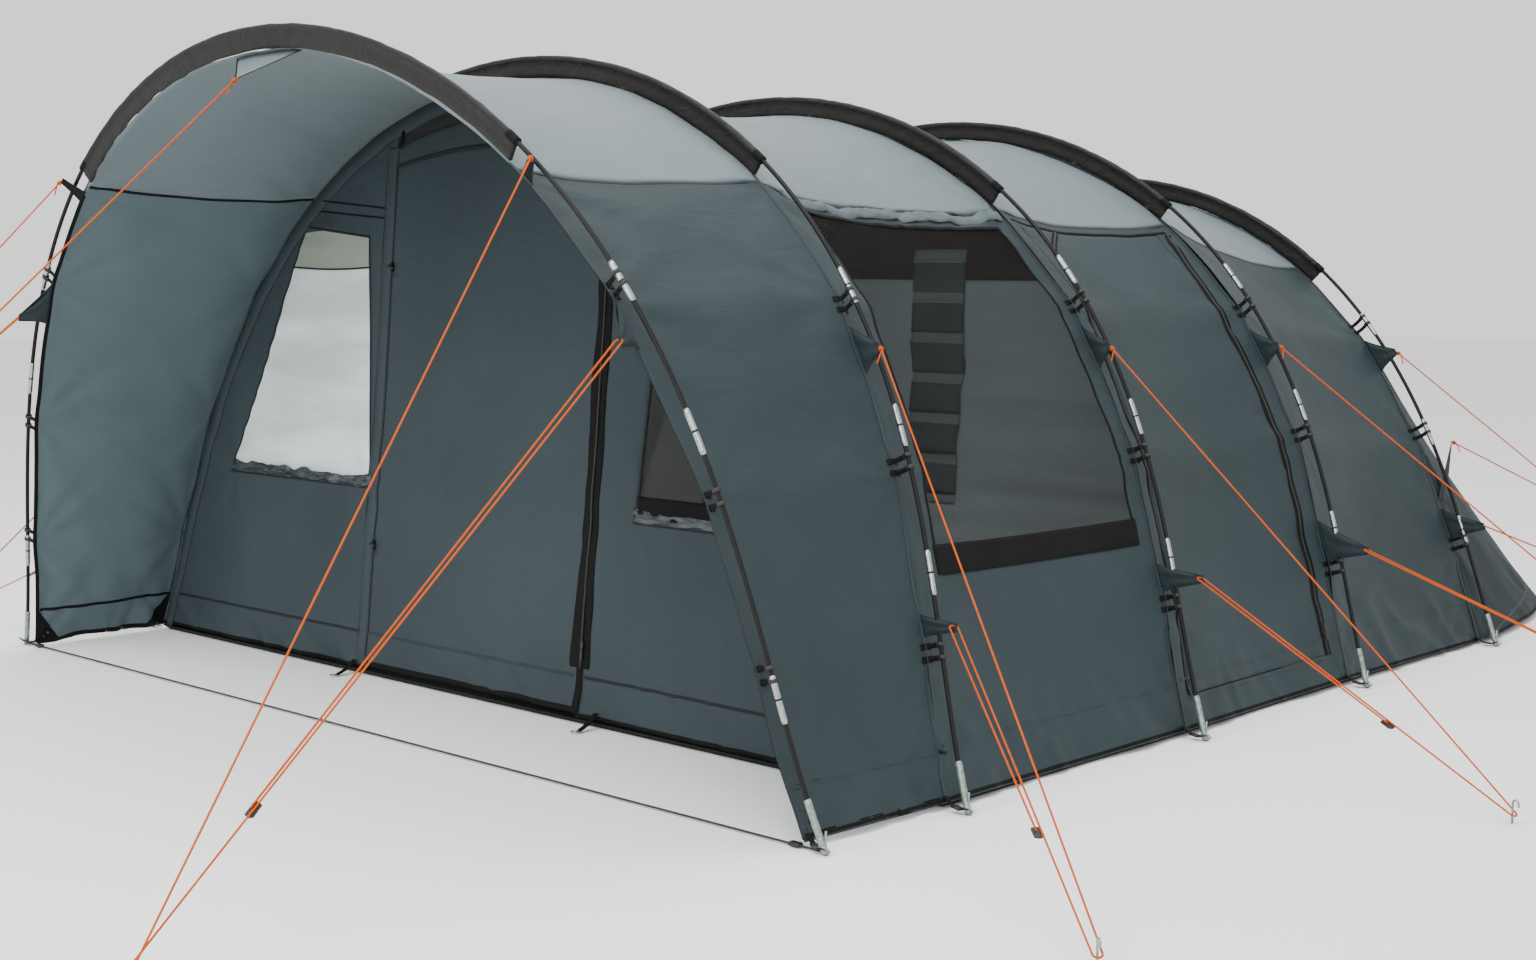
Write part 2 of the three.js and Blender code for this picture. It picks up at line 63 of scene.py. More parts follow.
# ================================================================ the tent's own shape, in metres
YS = -2.4073
ARCH_Y = np.array([0, 524.4, 1667.7, 2706.3, 3728.9]) / 1000
TILT = np.radians([-6.284, 5.988, 5.682, 4.598, 6.52])
HALF = np.array([2000, 2014.9, 1993.8, 1954.4, 1922.8]) / 1000
BEND = [[1.6442, 0.6712, -1.1384], [1.6094, 0.6727, -1.0931], [1.6, 0.5746, -0.9873], [1.596, 0.4963, -0.865], [1.6474, -0.0521, -0.4337]]
SAG = [0.022, 0.045, 0.042, 0.040]
SEAM, HEM = 0.385, 0.987
CLIPS = [0.535, 0.712, 0.862]
NT = 480
TAB = []
_s = np.linspace(0, 1, NT + 1)
for a, w in zip(BEND, HALF):
    th = a[0] * _s + a[1] * _s**3 + a[2] * _s**5
    X = np.concatenate([[0], np.cumsum((np.cos(th[1:]) + np.cos(th[:-1])) / 2)]) / NT
    Z = np.concatenate([[0], np.cumsum((np.sin(th[1:]) + np.sin(th[:-1])) / 2)]) / NT
    L = w / X[-1]
    TAB.append((th, X * L, (Z[-1] - Z) * L, L))
LEN = [t[3] for t in TAB]


def arch_plane(i, s, off=0.0):
    u = np.abs(s)
    th, X, H, _ = TAB[i]
    t, x, h = (np.interp(u, _s, k) for k in (th, X, H))
    return np.sign(s) * (x - off * np.sin(t)), h - off * np.cos(t)


def lean(i, x, h, w=0.0):
    t = TILT[i]
    x, h, w = np.broadcast_arrays(*(np.asarray(k, float) for k in (x, h, w)))
    return np.stack([x, ARCH_Y[i] + YS + h * math.sin(t) + w * math.cos(t), h * math.cos(t) - w * math.sin(t)], -1)


def arch_at(i, s, off=0.0, w=0.0):
    x, h = arch_plane(i, s, off)
    return lean(i, x, h, w)


def arch_frame(i, s):
    """outward and across unit vectors of an arch at s"""
    u = np.abs(np.asarray(s, float))
    th = np.sign(s) * np.interp(u, _s, TAB[i][0])
    z = lean(i, 0, 0)
    return lean(i, np.sin(th), np.cos(th)) - z, np.broadcast_to(np.array([0, math.cos(TILT[i]), -math.sin(TILT[i])]), np.shape(th) + (3,))


def edge_off(s):
    """how far inside the pole the fly runs: under the sleeve, then hooked up by clips and slack between them"""
    u = np.abs(s)
    k = sum(np.exp(-((u - c) / 0.028) ** 2) for c in CLIPS)
    o = 0.060 - 0.010 * np.clip(k, 0, 1)
    return np.where(u < SEAM, 0.058, 0.058 + (o - 0.058) * np.clip((u - SEAM) * 14, 0, 1))


def lattice(seed):
    return np.random.RandomState(seed).rand(64, 64) * 2 - 1


LAT = {}


def noise(x, y, seed=1):
    if seed not in LAT:
        LAT[seed] = lattice(seed)
    g = LAT[seed]
    xi, yi = np.floor(x).astype(int), np.floor(y).astype(int)
    fx, fy = x - xi, y - yi
    fx, fy = fx * fx * (3 - 2 * fx), fy * fy * (3 - 2 * fy)
    a, b = g[xi % 64, yi % 64], g[(xi + 1) % 64, yi % 64]
    c, d = g[xi % 64, (yi + 1) % 64], g[(xi + 1) % 64, (yi + 1) % 64]
    return a * (1 - fx) * (1 - fy) + b * fx * (1 - fy) + c * (1 - fx) * fy + d * fx * fy


def fbm(x, y, seed=1, n=3):
    return sum(noise(x * 2**k, y * 2**k, seed + k) / 1.9**k for k in range(n))


def ridge(x, y, seed=1):
    """soft folds: sharp crests between round hollows"""
    return 1 - np.abs(noise(x, y, seed)) * 2


def fly0(b, S, v):
    u = np.abs(S)
    o = edge_off(S) + SAG[b] * 4 * v * (1 - v) * np.minimum(1, (1.02 - u) * 6)
    A, B_ = arch_at(b, S, o), arch_at(b + 1, S, o)
    v = np.asarray(v)[..., None]
    return A * (1 - v) + B_ * v


def fly_disp(b, S, v, P):
    """folds of the fly, in metres outward; nothing at the arches"""
    u = np.abs(S)
    side = np.where(S < 0, 7, 0) + b * 13
    l = S * 3.1
    wid = (0.7, 1.15, 1.05, 1.02)[b]
    y = v * wid
    edge = np.minimum(y, wid - y)
    keep = np.clip(edge / 0.03, 0, 1)
    sd = 20 + b * 3
    d = 0.0075 * fbm(l * 1.3 + b, y * 1.9 + 5, sd)                       # loose, broad
    d = d + 0.0032 * fbm(l * 5 + y * 3.5, y * 2.0 - l * 0.7, sd + 1)      # drawn across the bay
    # puckers along the pole sleeves
    roof = np.clip((SEAM - u) * 30, 0, 1)
    d = d + roof * 0.0016 * np.sin(l * 2 * math.pi / 0.052 + 2 * noise(l * 9, y * 0, 3)) * (edge / 0.03) * np.exp(-edge / 0.045)
    # folds that fan from each clip, on both edges
    for k, c in enumerate(CLIPS + [SEAM + 0.01, 0.985]):
        for e in (0, 1):
            dy = (wid - y) if e else y
            dl = (u - c) * 3.1
            r = np.sqrt(dy**2 + dl**2) + 1e-6
            ang = np.arctan2(dl, dy)
            d = d + (0.0046 if c < 0.95 else 0.007) * np.sin(ang * (7 + k % 3) + k * 1.7 + e + 1.2 * noise(r * 5, ang * 2, sd + 2)) * (r / 0.10) * np.exp(-r / 0.13) * keep
    # the mud flap: bunched folds near the ground
    z = P[..., 2]
    low = np.clip((0.30 - z) / 0.22, 0, 1)
    d = d + low * 0.0095 * (ridge(y * 6.5 + z * 3.5, z * 5 + 3, sd + 4) - 0.3) * keep
    fan = y * 12 - z * 9 * np.sin(y * 5 + b)                             # creases that fan up from the pegged points
    d = d + np.clip((0.22 - z) / 0.14, 0, 1) * 0.0052 * (ridge(fan, z * 2.5 + 9, sd + 6) - 0.3) * keep
    d = d + np.clip((0.15 - z) / 0.1, 0, 1) * 0.004 * noise(y * 16 + z * 7, z * 14, sd + 5) * keep
    # slack between seam and window in the second bay
    if b == 1:
        top = np.exp(-((u - 0.40) / 0.018) ** 2) * (u > SEAM)
        d = d + top * 0.011 * (ridge(y * 15 + 3 * noise(l * 12, y * 3, 8), l * 9, 9) - 0.3) * keep
    if b == 2:                                        # lies flat where the side door's slider runs
        run = (S > 0) * np.exp(-((v - 0.912) / 0.045) ** 4)
        d = d * (1 - 0.97 * run * np.clip((u - 0.79) / 0.03, 0, 1))
        t = np.clip((z - 0.23) / 0.08, 0, 1) * np.clip((0.56 - z) / 0.08, 0, 1)
        d = d - 0.0068 * run * t * t * (3 - 2 * t)
    return d * np.clip((1.0 - u) / 0.004, 0, 1)


def _surf(b, S, v):
    e = 1e-3
    P = fly0(b, S, v)
    n = np.cross(fly0(b, S + e, v) - fly0(b, S - e, v), fly0(b, S, v + e) - fly0(b, S, v - e))
    n /= np.linalg.norm(n, axis=-1, keepdims=True) + 1e-12
    n *= np.where((n * (P * [1, 0, 1])).sum(-1, keepdims=True) < 0, -1, 1)
    return P + n * fly_disp(b, S, v, P)[..., None], n


def surf(b, S, v, lift=0.0):
    S, v = np.broadcast_arrays(np.asarray(S, float), np.asarray(v, float))
    P, n = _surf(b, S, v)
    return P + n * lift, n


HS = np.array([0, 0.2, 0.4, 0.5, 0.6, 0.7, 0.8, 0.9, 1])
HX = np.array([0, 800, 1400, 1580, 1690, 1760, 1800, 1835, 1868]) / 1000
HY = np.array([5050, 5035, 4930, 4820, 4630, 4410, 4190, 3980, 3800]) / 1000
_hs = np.linspace(0, 1, 81)


def _smooth(v):
    w = np.interp(_hs, HS, v)
    for _ in range(10):
        w[1:-1] = (w[:-2] + 2 * w[1:-1] + w[2:]) / 4
    return w


HXs, HYs = _smooth(HX), _smooth(HY)


def hem_at(S, z=0.022):
    u = np.abs(S)
    return np.stack([np.sign(S) * np.interp(u, _hs, HXs), np.interp(u, _hs, HYs) + YS, np.zeros_like(u) + z], -1)


def rear0(S, w, off=None, back=0.0):
    A = arch_at(4, S, edge_off(S) if off is None else off)
    Bm = hem_at(S)
    w_ = np.asarray(w)[..., None]
    P = A * (1 - w_) + Bm * w_
    P[..., 2] -= 0.055 * 4 * w * (1 - w) * np.cos(np.minimum(np.abs(S), 1) * math.pi / 2)
    P[..., 0] -= np.sign(S) * back * np.abs(np.sin(np.minimum(np.abs(S) * 1.6, math.pi / 2)))
    P[..., 1] -= back
    return P


def rear(S, w, lift=0.0, off=None, back=0.0, amp=1.0):
    S, w = np.broadcast_arrays(np.asarray(S, float), np.asarray(w, float))
    e = 1e-3
    P = rear0(S, w, off, back)
    n = np.cross(rear0(S + e, w, off, back) - rear0(S - e, w, off, back), rear0(S, w + e, off, back) - rear0(S, w - e, off, back))
    n /= np.linalg.norm(n, axis=-1, keepdims=True) + 1e-12
    n *= np.where(n[..., 1:2] + n[..., 2:3] * 0.3 < 0, -1, 1)
    l = S * 2.8
    keep = np.clip(w / 0.04, 0, 1)
    z = P[..., 2]
    d = 0.006 * fbm(l * 1.4, w * 2.1, 61) + 0.0025 * fbm(l * 6 + w * 2, w * 2.5, 62)
    d = d + np.clip((0.30 - z) / 0.2, 0, 1) * 0.008 * (ridge(l * 6.5, z * 6, 63) - 0.3)
    for c in CLIPS:
        dl, dy = (np.abs(S) - c) * 2.8, w * 1.2
        r = np.sqrt(dl**2 + dy**2) + 1e-6
        d = d + 0.005 * np.sin(np.arctan2(dl, dy) * 8 + c * 9) * (r / 0.1) * np.exp(-r / 0.13)
    return P + n * (d * keep * amp * np.clip((1.0 - np.abs(S)) / 0.01, 0, 1))[..., None] + n * lift, n


# ================================================================ making meshes
class Build:
    def __init__(self):
        self.V, self.F, self.M, self.n = [], [], [], 0

    def add(self, V, F, m=0):
        V = np.asarray(V, float).reshape(-1, 3)
        self.V.append(V)
        self.F += [tuple(i + self.n for i in f) for f in F]
        self.M += list(m) if hasattr(m, "__len__") else [m] * len(F)
        self.n += len(V)
        return self

    def obj(self, name, mats, smooth=True, body="tent"):
        name = name + "_v" if name in bpy.data.objects else name      # _v: stands for the CAD node of that name
        me = bpy.data.meshes.new(name)
        vv = np.concatenate(self.V)
        vv[:, 2] = np.maximum(vv[:, 2], 0.0006)                       # nothing dips under the ground
        me.from_pydata([tuple(v) for v in vv], [], self.F)
        for m in mats if isinstance(mats, (list, tuple)) else [mats]:
            me.materials.append(m)
        me.polygons.foreach_set("material_index", self.M)
        if smooth:
            me.polygons.foreach_set("use_smooth", [True] * len(me.polygons))
        me.validate()
        me.update()
        o = bpy.data.objects.new(name, me)
        scene.collection.objects.link(o)
        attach(o, body)
        return o


def quads(nu, nv, keep=None, close_u=False, close_v=False):
    F = []
    for i in range(nu if close_u else nu - 1):
        for j in range(nv if close_v else nv - 1):
            if keep is None or keep[i, j]:
                a, b = i * nv + j, i * nv + (j + 1) % nv
                i2 = (i + 1) % nu
                F.append((a, i2 * nv + j, i2 * nv + (j + 1) % nv, b))
    return F


def shell(P, N, t=0.0011, keep=None, two=False):
    """a closed sheet of thickness t from a grid of points and outward normals"""
    nu, nv = P.shape[:2]
    k = np.ones((nu - 1, nv - 1), bool) if keep is None else keep
    V = np.concatenate([P.reshape(-1, 3), (P - N * t).reshape(-1, 3)])
    O = nu * nv
    F, M = [], []
    o = lambda i, j: i * nv + j
    # wind the outer face along N
    mi, mj = nu // 2, nv // 2
    c = np.cross(P[mi, mj] - P[mi - 1, mj], P[mi, mj] - P[mi, mj - 1])
    fl = (c @ N[mi, mj]) < 0
    def q(a, b, c_, d, m=0):
        F.append((a, d, c_, b) if fl else (a, b, c_, d))
        M.append(m)
    for i in range(nu - 1):
        for j in range(nv - 1):
            if not k[i, j]:
                continue
            q(o(i, j), o(i + 1, j), o(i + 1, j + 1), o(i, j + 1))
            q(O + o(i, j), O + o(i, j + 1), O + o(i + 1, j + 1), O + o(i + 1, j), 1)
            if i == 0 or not k[i - 1, j]:
                q(o(i, j), o(i, j + 1), O + o(i, j + 1), O + o(i, j))
            if i == nu - 2 or not k[i + 1, j]:
                q(o(i + 1, j), O + o(i + 1, j), O + o(i + 1, j + 1), o(i + 1, j + 1))
            if j == 0 or not k[i, j - 1]:
                q(o(i, j), O + o(i, j), O + o(i + 1, j), o(i + 1, j))
            if j == nv - 2 or not k[i, j + 1]:
                q(o(i, j + 1), o(i + 1, j + 1), O + o(i + 1, j + 1), O + o(i, j + 1))
    used = np.zeros(len(V), bool)
    for f in F:
        used[list(f)] = True
    idx = np.cumsum(used) - 1
    F = [tuple(int(idx[i]) for i in f) for f in F]
    return (V[used], F, M) if two else (V[used], F)


def tangents(P):
    t = np.gradient(P, axis=0)
    return t / (np.linalg.norm(t, axis=1, keepdims=True) + 1e-12)


def strip(P, N, prof, closed=False):
    """sweep the profile (side, normal) pairs along P with surface normals N"""
    P = np.asarray(P, float)
    N = np.asarray(N, float)
    T = tangents(P)
    if closed:
        T = np.roll(P, -1, 0) - np.roll(P, 1, 0)
        T /= np.linalg.norm(T, axis=1, keepdims=True) + 1e-12
    S = np.cross(T, N)
    S /= np.linalg.norm(S, axis=1, keepdims=True) + 1e-12
    N2 = np.cross(S, T)
    n, m = len(P), len(prof)
    V = np.concatenate([P[k] + S[k] * 0 + np.array([S[k] * p + N2[k] * q for p, q in prof]) for k in range(n)])
    F = quads(n, m, close_v=True, close_u=closed)
    if not closed:
        F.append(tuple(range(m)))
        F.append(tuple((n - 1) * m + j for j in reversed(range(m))))
    return V, F


def flat_prof(w, t, n=2):
    """a soft-edged tape: width w, thickness t, lying with its underside on the surface"""
    h = w / 2
    return [(-h, t * 0.15), (-h + t * 0.6, t), (h - t * 0.6, t), (h, t * 0.15), (h, -t * 0.3), (-h, -t * 0.3)]


def round_prof(r, n=10):
    return [(r * math.cos(2 * math.pi * k / n), r * math.sin(2 * math.pi * k / n)) for k in range(n)]


def tube(P, r, n=12, ref=(0.0, 0.13, 1.0), closed=False):
    P = np.asarray(P, float)
    m = len(P)
    rr = np.broadcast_to(np.asarray(r, float), (m,))
    T = tangents(P) if not closed else (np.roll(P, -1, 0) - np.roll(P, 1, 0))
    T /= np.linalg.norm(T, axis=1, keepdims=True) + 1e-12
    A = np.zeros_like(P)
    a = np.array(ref, float)
    for k in range(m):
        a = a - (a @ T[k]) * T[k]
        if np.linalg.norm(a) < 1e-6:
            a = np.cross(T[k], [1.0, 0.2, 0.1])
        a /= np.linalg.norm(a)
        A[k] = a
    Bv = np.cross(T, A)
    ang = np.arange(n) * 2 * math.pi / n
    V = (P[:, None] + rr[:, None, None] * (A[:, None] * np.cos(ang)[None, :, None] + Bv[:, None] * np.sin(ang)[None, :, None])).reshape(-1, 3)
    F = quads(m, n, close_v=True, close_u=closed)
    F = [tuple(reversed(f)) for f in F]
    if not closed:
        F.append(tuple(reversed(range(n))))
        F.append(tuple((m - 1) * n + j for j in range(n)))
    F = [tuple(reversed(f)) for f in F]
    return V, F


# ================================================================ materials
def nodes_of(name):
    m = bpy.data.materials.new(name)
    m.use_nodes = True
    nt = m.node_tree
    b = nt.nodes["Principled BSDF"]
    return m, nt, b


def link(nt, a, b):
    nt.links.new(a, b)


def cloth(name, col, rough=0.72, var=0.10, crumple=0.35, weave=0.12, dark=None, sheen=0.03, spec=0.2, scale=1.0):
    m, nt, b = nodes_of(name)
    tc = nt.nodes.new("ShaderNodeTexCoord")
    big = nt.nodes.new("ShaderNodeTexNoise"); big.inputs["Scale"].default_value = 1.7; big.inputs["Detail"].default_value = 3
    fine = nt.nodes.new("ShaderNodeTexNoise"); fine.inputs["Scale"].default_value = 240; fine.inputs["Detail"].default_value = 2
    for n in (big, fine):
        link(nt, tc.outputs["Object"], n.inputs["Vector"])
    r1 = nt.nodes.new("ShaderNodeValToRGB")
    c = np.array(col)
    e = r1.color_ramp.elements
    lo = np.array(dark) if dark is not None else c * (1 - var)
    e[0].position, e[1].position = 0.32, 0.70
    e[0].color = (*lo, 1); e[1].color = (*np.minimum(c * (1 + var), 1), 1)
    link(nt, big.outputs["Fac"], r1.inputs["Fac"])
    mix = nt.nodes.new("ShaderNodeMix"); mix.data_type = "RGBA"; mix.blend_type = "MULTIPLY"; mix.inputs[0].default_value = 1.0
    r2 = nt.nodes.new("ShaderNodeValToRGB")
    r2.color_ramp.elements[0].color = (0.90, 0.90, 0.90, 1); r2.color_ramp.elements[1].color = (1, 1, 1, 1)
    r2.color_ramp.elements[0].position, r2.color_ramp.elements[1].position = 0.38, 0.62
    link(nt, fine.outputs["Fac"], r2.inputs["Fac"])
    link(nt, r1.outputs["Color"], mix.inputs[6]); link(nt, r2.outputs["Color"], mix.inputs[7])
    link(nt, mix.outputs[2], b.inputs["Base Color"])
    b.inputs["Roughness"].default_value = rough
    b.inputs["Specular IOR Level"].default_value = spec
    b.inputs["Sheen Weight"].default_value = sheen
    b.inputs["Sheen Roughness"].default_value = 0.5
    # crumple: small soft creases, and the weave
    mp = nt.nodes.new("ShaderNodeMapping"); mp.inputs["Scale"].default_value = (1.0, 0.55, 1.35)
    link(nt, tc.outputs["Object"], mp.inputs["Vector"])
    cr = nt.nodes.new("ShaderNodeTexNoise"); cr.noise_dimensions = "3D"; cr.inputs["Scale"].default_value = 9 * scale; cr.inputs["Detail"].default_value = 4; cr.inputs["Roughness"].default_value = 0.55
    cr.inputs["Distortion"].default_value = 0.6
    link(nt, mp.outputs["Vector"], cr.inputs["Vector"])
    b1 = nt.nodes.new("ShaderNodeBump"); b1.inputs["Strength"].default_value = crumple; b1.inputs["Distance"].default_value = 0.012
    link(nt, cr.outputs["Fac"], b1.inputs["Height"])
    wv = [nt.nodes.new("ShaderNodeTexWave") for _ in range(3)]
    for w, d in zip(wv, ("X", "Y", "Z")):
        w.wave_type = "BANDS"; w.bands_direction = d; w.inputs["Scale"].default_value = 130
        link(nt, tc.outputs["Object"], w.inputs["Vector"])
    a1 = nt.nodes.new("ShaderNodeMath"); a1.operation = "ADD"
    a2 = nt.nodes.new("ShaderNodeMath"); a2.operation = "ADD"
    link(nt, wv[0].outputs["Fac"], a1.inputs[0]); link(nt, wv[1].outputs["Fac"], a1.inputs[1])
    link(nt, a1.outputs[0], a2.inputs[0]); link(nt, wv[2].outputs["Fac"], a2.inputs[1])
    b2 = nt.nodes.new("ShaderNodeBump"); b2.inputs["Strength"].default_value = weave; b2.inputs["Distance"].default_value = 0.0006
    link(nt, a2.outputs[0], b2.inputs["Height"]); link(nt, b1.outputs["Normal"], b2.inputs["Normal"])
    link(nt, b2.outputs["Normal"], b.inputs["Normal"])
    return m


def hard(name, col, rough=0.45, metal=0.0, bump=0.1, scale=220, wear=None, var=0.15):
    m, nt, b = nodes_of(name)
    tc = nt.nodes.new("ShaderNodeTexCoord")
    n = nt.nodes.new("ShaderNodeTexNoise"); n.inputs["Scale"].default_value = scale; n.inputs["Detail"].default_value = 4
    link(nt, tc.outputs["Object"], n.inputs["Vector"])
    r = nt.nodes.new("ShaderNodeValToRGB"); c = np.array(col)
    r.color_ramp.elements[0].position, r.color_ramp.elements[1].position = 0.35, 0.68
    r.color_ramp.elements[0].color = (*(c * (1 - var)), 1)
    r.color_ramp.elements[1].color = (*np.minimum(np.array(wear) if wear is not None else c * (1 + var), 1), 1)
    link(nt, n.outputs["Fac"], r.inputs["Fac"]); link(nt, r.outputs["Color"], b.inputs["Base Color"])
    rr = nt.nodes.new("ShaderNodeMapRange"); rr.inputs["To Min"].default_value = rough * 0.8; rr.inputs["To Max"].default_value = min(1, rough * 1.25)
    link(nt, n.outputs["Fac"], rr.inputs["Value"]); link(nt, rr.outputs["Result"], b.inputs["Roughness"])
    b.inputs["Metallic"].default_value = metal
    bp = nt.nodes.new("ShaderNodeBump"); bp.inputs["Strength"].default_value = bump; bp.inputs["Distance"].default_value = 0.0008
    link(nt, n.outputs["Fac"], bp.inputs["Height"]); link(nt, bp.outputs["Normal"], b.inputs["Normal"])
    return m


def braid(name, col, dark):
    """twisted or woven line: diagonal bands"""
    m, nt, b = nodes_of(name)
    tc = nt.nodes.new("ShaderNodeTexCoord")
    w = nt.nodes.new("ShaderNodeTexWave"); w.bands_direction = "DIAGONAL"; w.inputs["Scale"].default_value = 90; w.inputs["Distortion"].default_value = 1.5
    link(nt, tc.outputs["Object"], w.inputs["Vector"])
    r = nt.nodes.new("ShaderNodeValToRGB"); r.color_ramp.elements[0].color = (*dark, 1); r.color_ramp.elements[1].color = (*col, 1)
    r.color_ramp.elements[1].position = 0.45
    link(nt, w.outputs["Fac"], r.inputs["Fac"]); link(nt, r.outputs["Color"], b.inputs["Base Color"])
    b.inputs["Roughness"].default_value = 0.7
    bp = nt.nodes.new("ShaderNodeBump"); bp.inputs["Strength"].default_value = 0.4; bp.inputs["Distance"].default_value = 0.0008
    link(nt, w.outputs["Fac"], bp.inputs["Height"]); link(nt, bp.outputs["Normal"], b.inputs["Normal"])
    return m


def film(name, col, alpha, rough, crease=0.5, scale=5.0, var=0.25, mesh=False):
    """clear window film, or fine dark mesh seen through"""
    m, nt, b = nodes_of(name)
    tc = nt.nodes.new("ShaderNodeTexCoord")
    mp = nt.nodes.new("ShaderNodeMapping"); mp.inputs["Rotation"].default_value = (0, R(38), 0); mp.inputs["Scale"].default_value = (0.6, 0.6, 2.6)
    link(nt, tc.outputs["Object"], mp.inputs["Vector"])
    n = nt.nodes.new("ShaderNodeTexNoise"); n.inputs["Scale"].default_value = scale; n.inputs["Detail"].default_value = 2
    link(nt, mp.outputs["Vector"], n.inputs["Vector"])
    c = np.array(col)
    r = nt.nodes.new("ShaderNodeValToRGB"); r.color_ramp.elements[0].position, r.color_ramp.elements[1].position = 0.35, 0.7
    r.color_ramp.elements[0].color = (*(c * (1 - var)), 1); r.color_ramp.elements[1].color = (*np.minimum(c * (1 + var * 0.6), 1), 1)
    link(nt, n.outputs["Fac"], r.inputs["Fac"]); link(nt, r.outputs["Color"], b.inputs["Base Color"])
    b.inputs["Roughness"].default_value = rough
    b.inputs["Alpha"].default_value = alpha
    bp = nt.nodes.new("ShaderNodeBump"); bp.inputs["Strength"].default_value = crease; bp.inputs["Distance"].default_value = 0.01
    link(nt, n.outputs["Fac"], bp.inputs["Height"]); link(nt, bp.outputs["Normal"], b.inputs["Normal"])
    return m


C_WALL = (0.0225, 0.0360, 0.0400)
C_ROOF = (0.115, 0.152, 0.164)
m_roof = cloth("fly_roof_cloth", C_ROOF, 0.55, 0.07, 0.22, sheen=0.1, spec=0.35)
m_wall = cloth("fly_wall_cloth", C_WALL, 0.60, 0.10, 0.42, sheen=0.01, spec=0.18)
# painted shade: the rear wall is the same cloth as the side walls, made darker to stand for the shade toward the rear
m_wall_rear_painted_shade = cloth("rear_wall_cloth_painted_shade", (0.0145, 0.0245, 0.0275), 0.66, 0.08, 0.25, sheen=0.01, spec=0.12)
# painted light: the fly's inside face is a lighter copy of the wall cloth, standing for light shining through the cloth
# into the canopy
m_fly_inside_painted_light = cloth("fly_wall_inside_painted_light", (0.085, 0.122, 0.132), 0.6, 0.06, 0.25)
m_front = cloth("front_wall_cloth", (0.0325, 0.0462, 0.0520), 0.68, 0.10, 0.45, sheen=0.01, spec=0.15)
m_front_edge = cloth("front_wall_border", (0.034, 0.048, 0.054), 0.68, 0.07, 0.28, sheen=0.01, spec=0.15)
m_trim = cloth("sleeve_cloth", (0.010, 0.010, 0.0085), 0.55, 0.15, 0.5, scale=2.2, sheen=0.02)
m_dark = cloth("dark_panel_cloth", (0.020, 0.024, 0.028), 0.7, 0.12, 0.3)
m_tab = cloth("guy_tab_cloth", (0.017, 0.0265, 0.030), 0.68, 0.12, 0.45, spec=0.15, sheen=0.01, scale=3)
m_tape = cloth("black_tape", (0.0055, 0.0055, 0.0055), 0.75, 0.15, 0.2, weave=0.4, sheen=0.0, spec=0.12)
m_seam = cloth("seam_tape", (0.021, 0.031, 0.035), 0.65, 0.12, 0.1)
m_roll = cloth("blind_cloth", (0.075, 0.100, 0.108), 0.6, 0.1, 0.5, spec=0.3, scale=2.5)
m_line = cloth("seam_dark", (0.010, 0.012, 0.013), 0.7, 0.12, 0.1)
m_olive = cloth("light_band_cloth", (0.235, 0.27, 0.225), 0.7, 0.06, 0.35)
m_inner = cloth("inner_cloth", (0.30, 0.33, 0.325), 0.8, 0.08, 0.35, spec=0.1)
m_inner_dark = cloth("inner_dark_cloth", (0.042, 0.030, 0.024), 0.85, 0.12, 0.25, spec=0.08)
m_pocket = cloth("organiser_cloth", (0.20, 0.215, 0.21), 0.8, 0.1, 0.35, spec=0.1)
m_pocket_mesh = cloth("organiser_mesh", (0.095, 0.10, 0.098), 0.85, 0.1, 0.35, spec=0.08)
m_ground = cloth("groundsheet_pe", (0.010, 0.014, 0.012), 0.7, 0.2, 0.3, weave=0.2, scale=1.2, sheen=0.0, spec=0.12)
m_pole = hard("pole_glassfibre", (0.006, 0.006, 0.006), 0.55, 0.0, 0.05, 160)
m_pole.node_tree.nodes["Principled BSDF"].inputs["Specular IOR Level"].default_value = 0.2
m_ferrule = hard("ferrule_metal", (0.40, 0.42, 0.42), 0.32, 1.0, 0.1, 120, var=0.2)
m_steel = hard("steel_galvanised", (0.27, 0.33, 0.29), 0.42, 0.75, 0.15, 70, var=0.3)
m_plastic = hard("black_plastic", (0.009, 0.009, 0.009), 0.55, 0, 0.15, 300)
m_zip = hard("zip_coil", (0.006, 0.006, 0.006), 0.6, 0, 0.5, 500)
m_rope = braid("orange_line", (0.52, 0.083, 0.0005), (0.33, 0.045, 0.0004))
m_rope.node_tree.nodes["Principled BSDF"].inputs["Specular IOR Level"].default_value = 0.15
m_cord = braid("black_cord", (0.012, 0.012, 0.012), (0.004, 0.004, 0.004))
m_film_painted_glow = film("clear_film_painted_glow", (0.60, 0.68, 0.67), 0.82, 0.16, crease=0.25, scale=2.6, var=0.28)
m_film_edge = film("clear_film_edge", (0.050, 0.064, 0.068), 0.80, 0.24, crease=0.9, scale=26, var=0.6)
# painted light: the film glows, standing for daylight through the far wall behind it
film_bsdf_painted_glow = m_film_painted_glow.node_tree.nodes["Principled BSDF"]
film_bsdf_painted_glow.inputs["Emission Color"].default_value = (0.78, 0.86, 0.86, 1)     # daylight through the far wall
film_bsdf_painted_glow.inputs["Emission Strength"].default_value = 0.15
m_smoke = film("smoky_film", (0.014, 0.014, 0.013), 0.34, 0.22, 0.25, 3.0)
m_side = film("side_window_film", (0.012, 0.013, 0.013), 0.16, 0.45, 0.06, 2.0)
m_side.node_tree.nodes["Principled BSDF"].inputs["Specular IOR Level"].default_value = 0.08
m_vent = film("vent_mesh", (0.010, 0.010, 0.010), 0.88, 0.7, 0.4, 60)

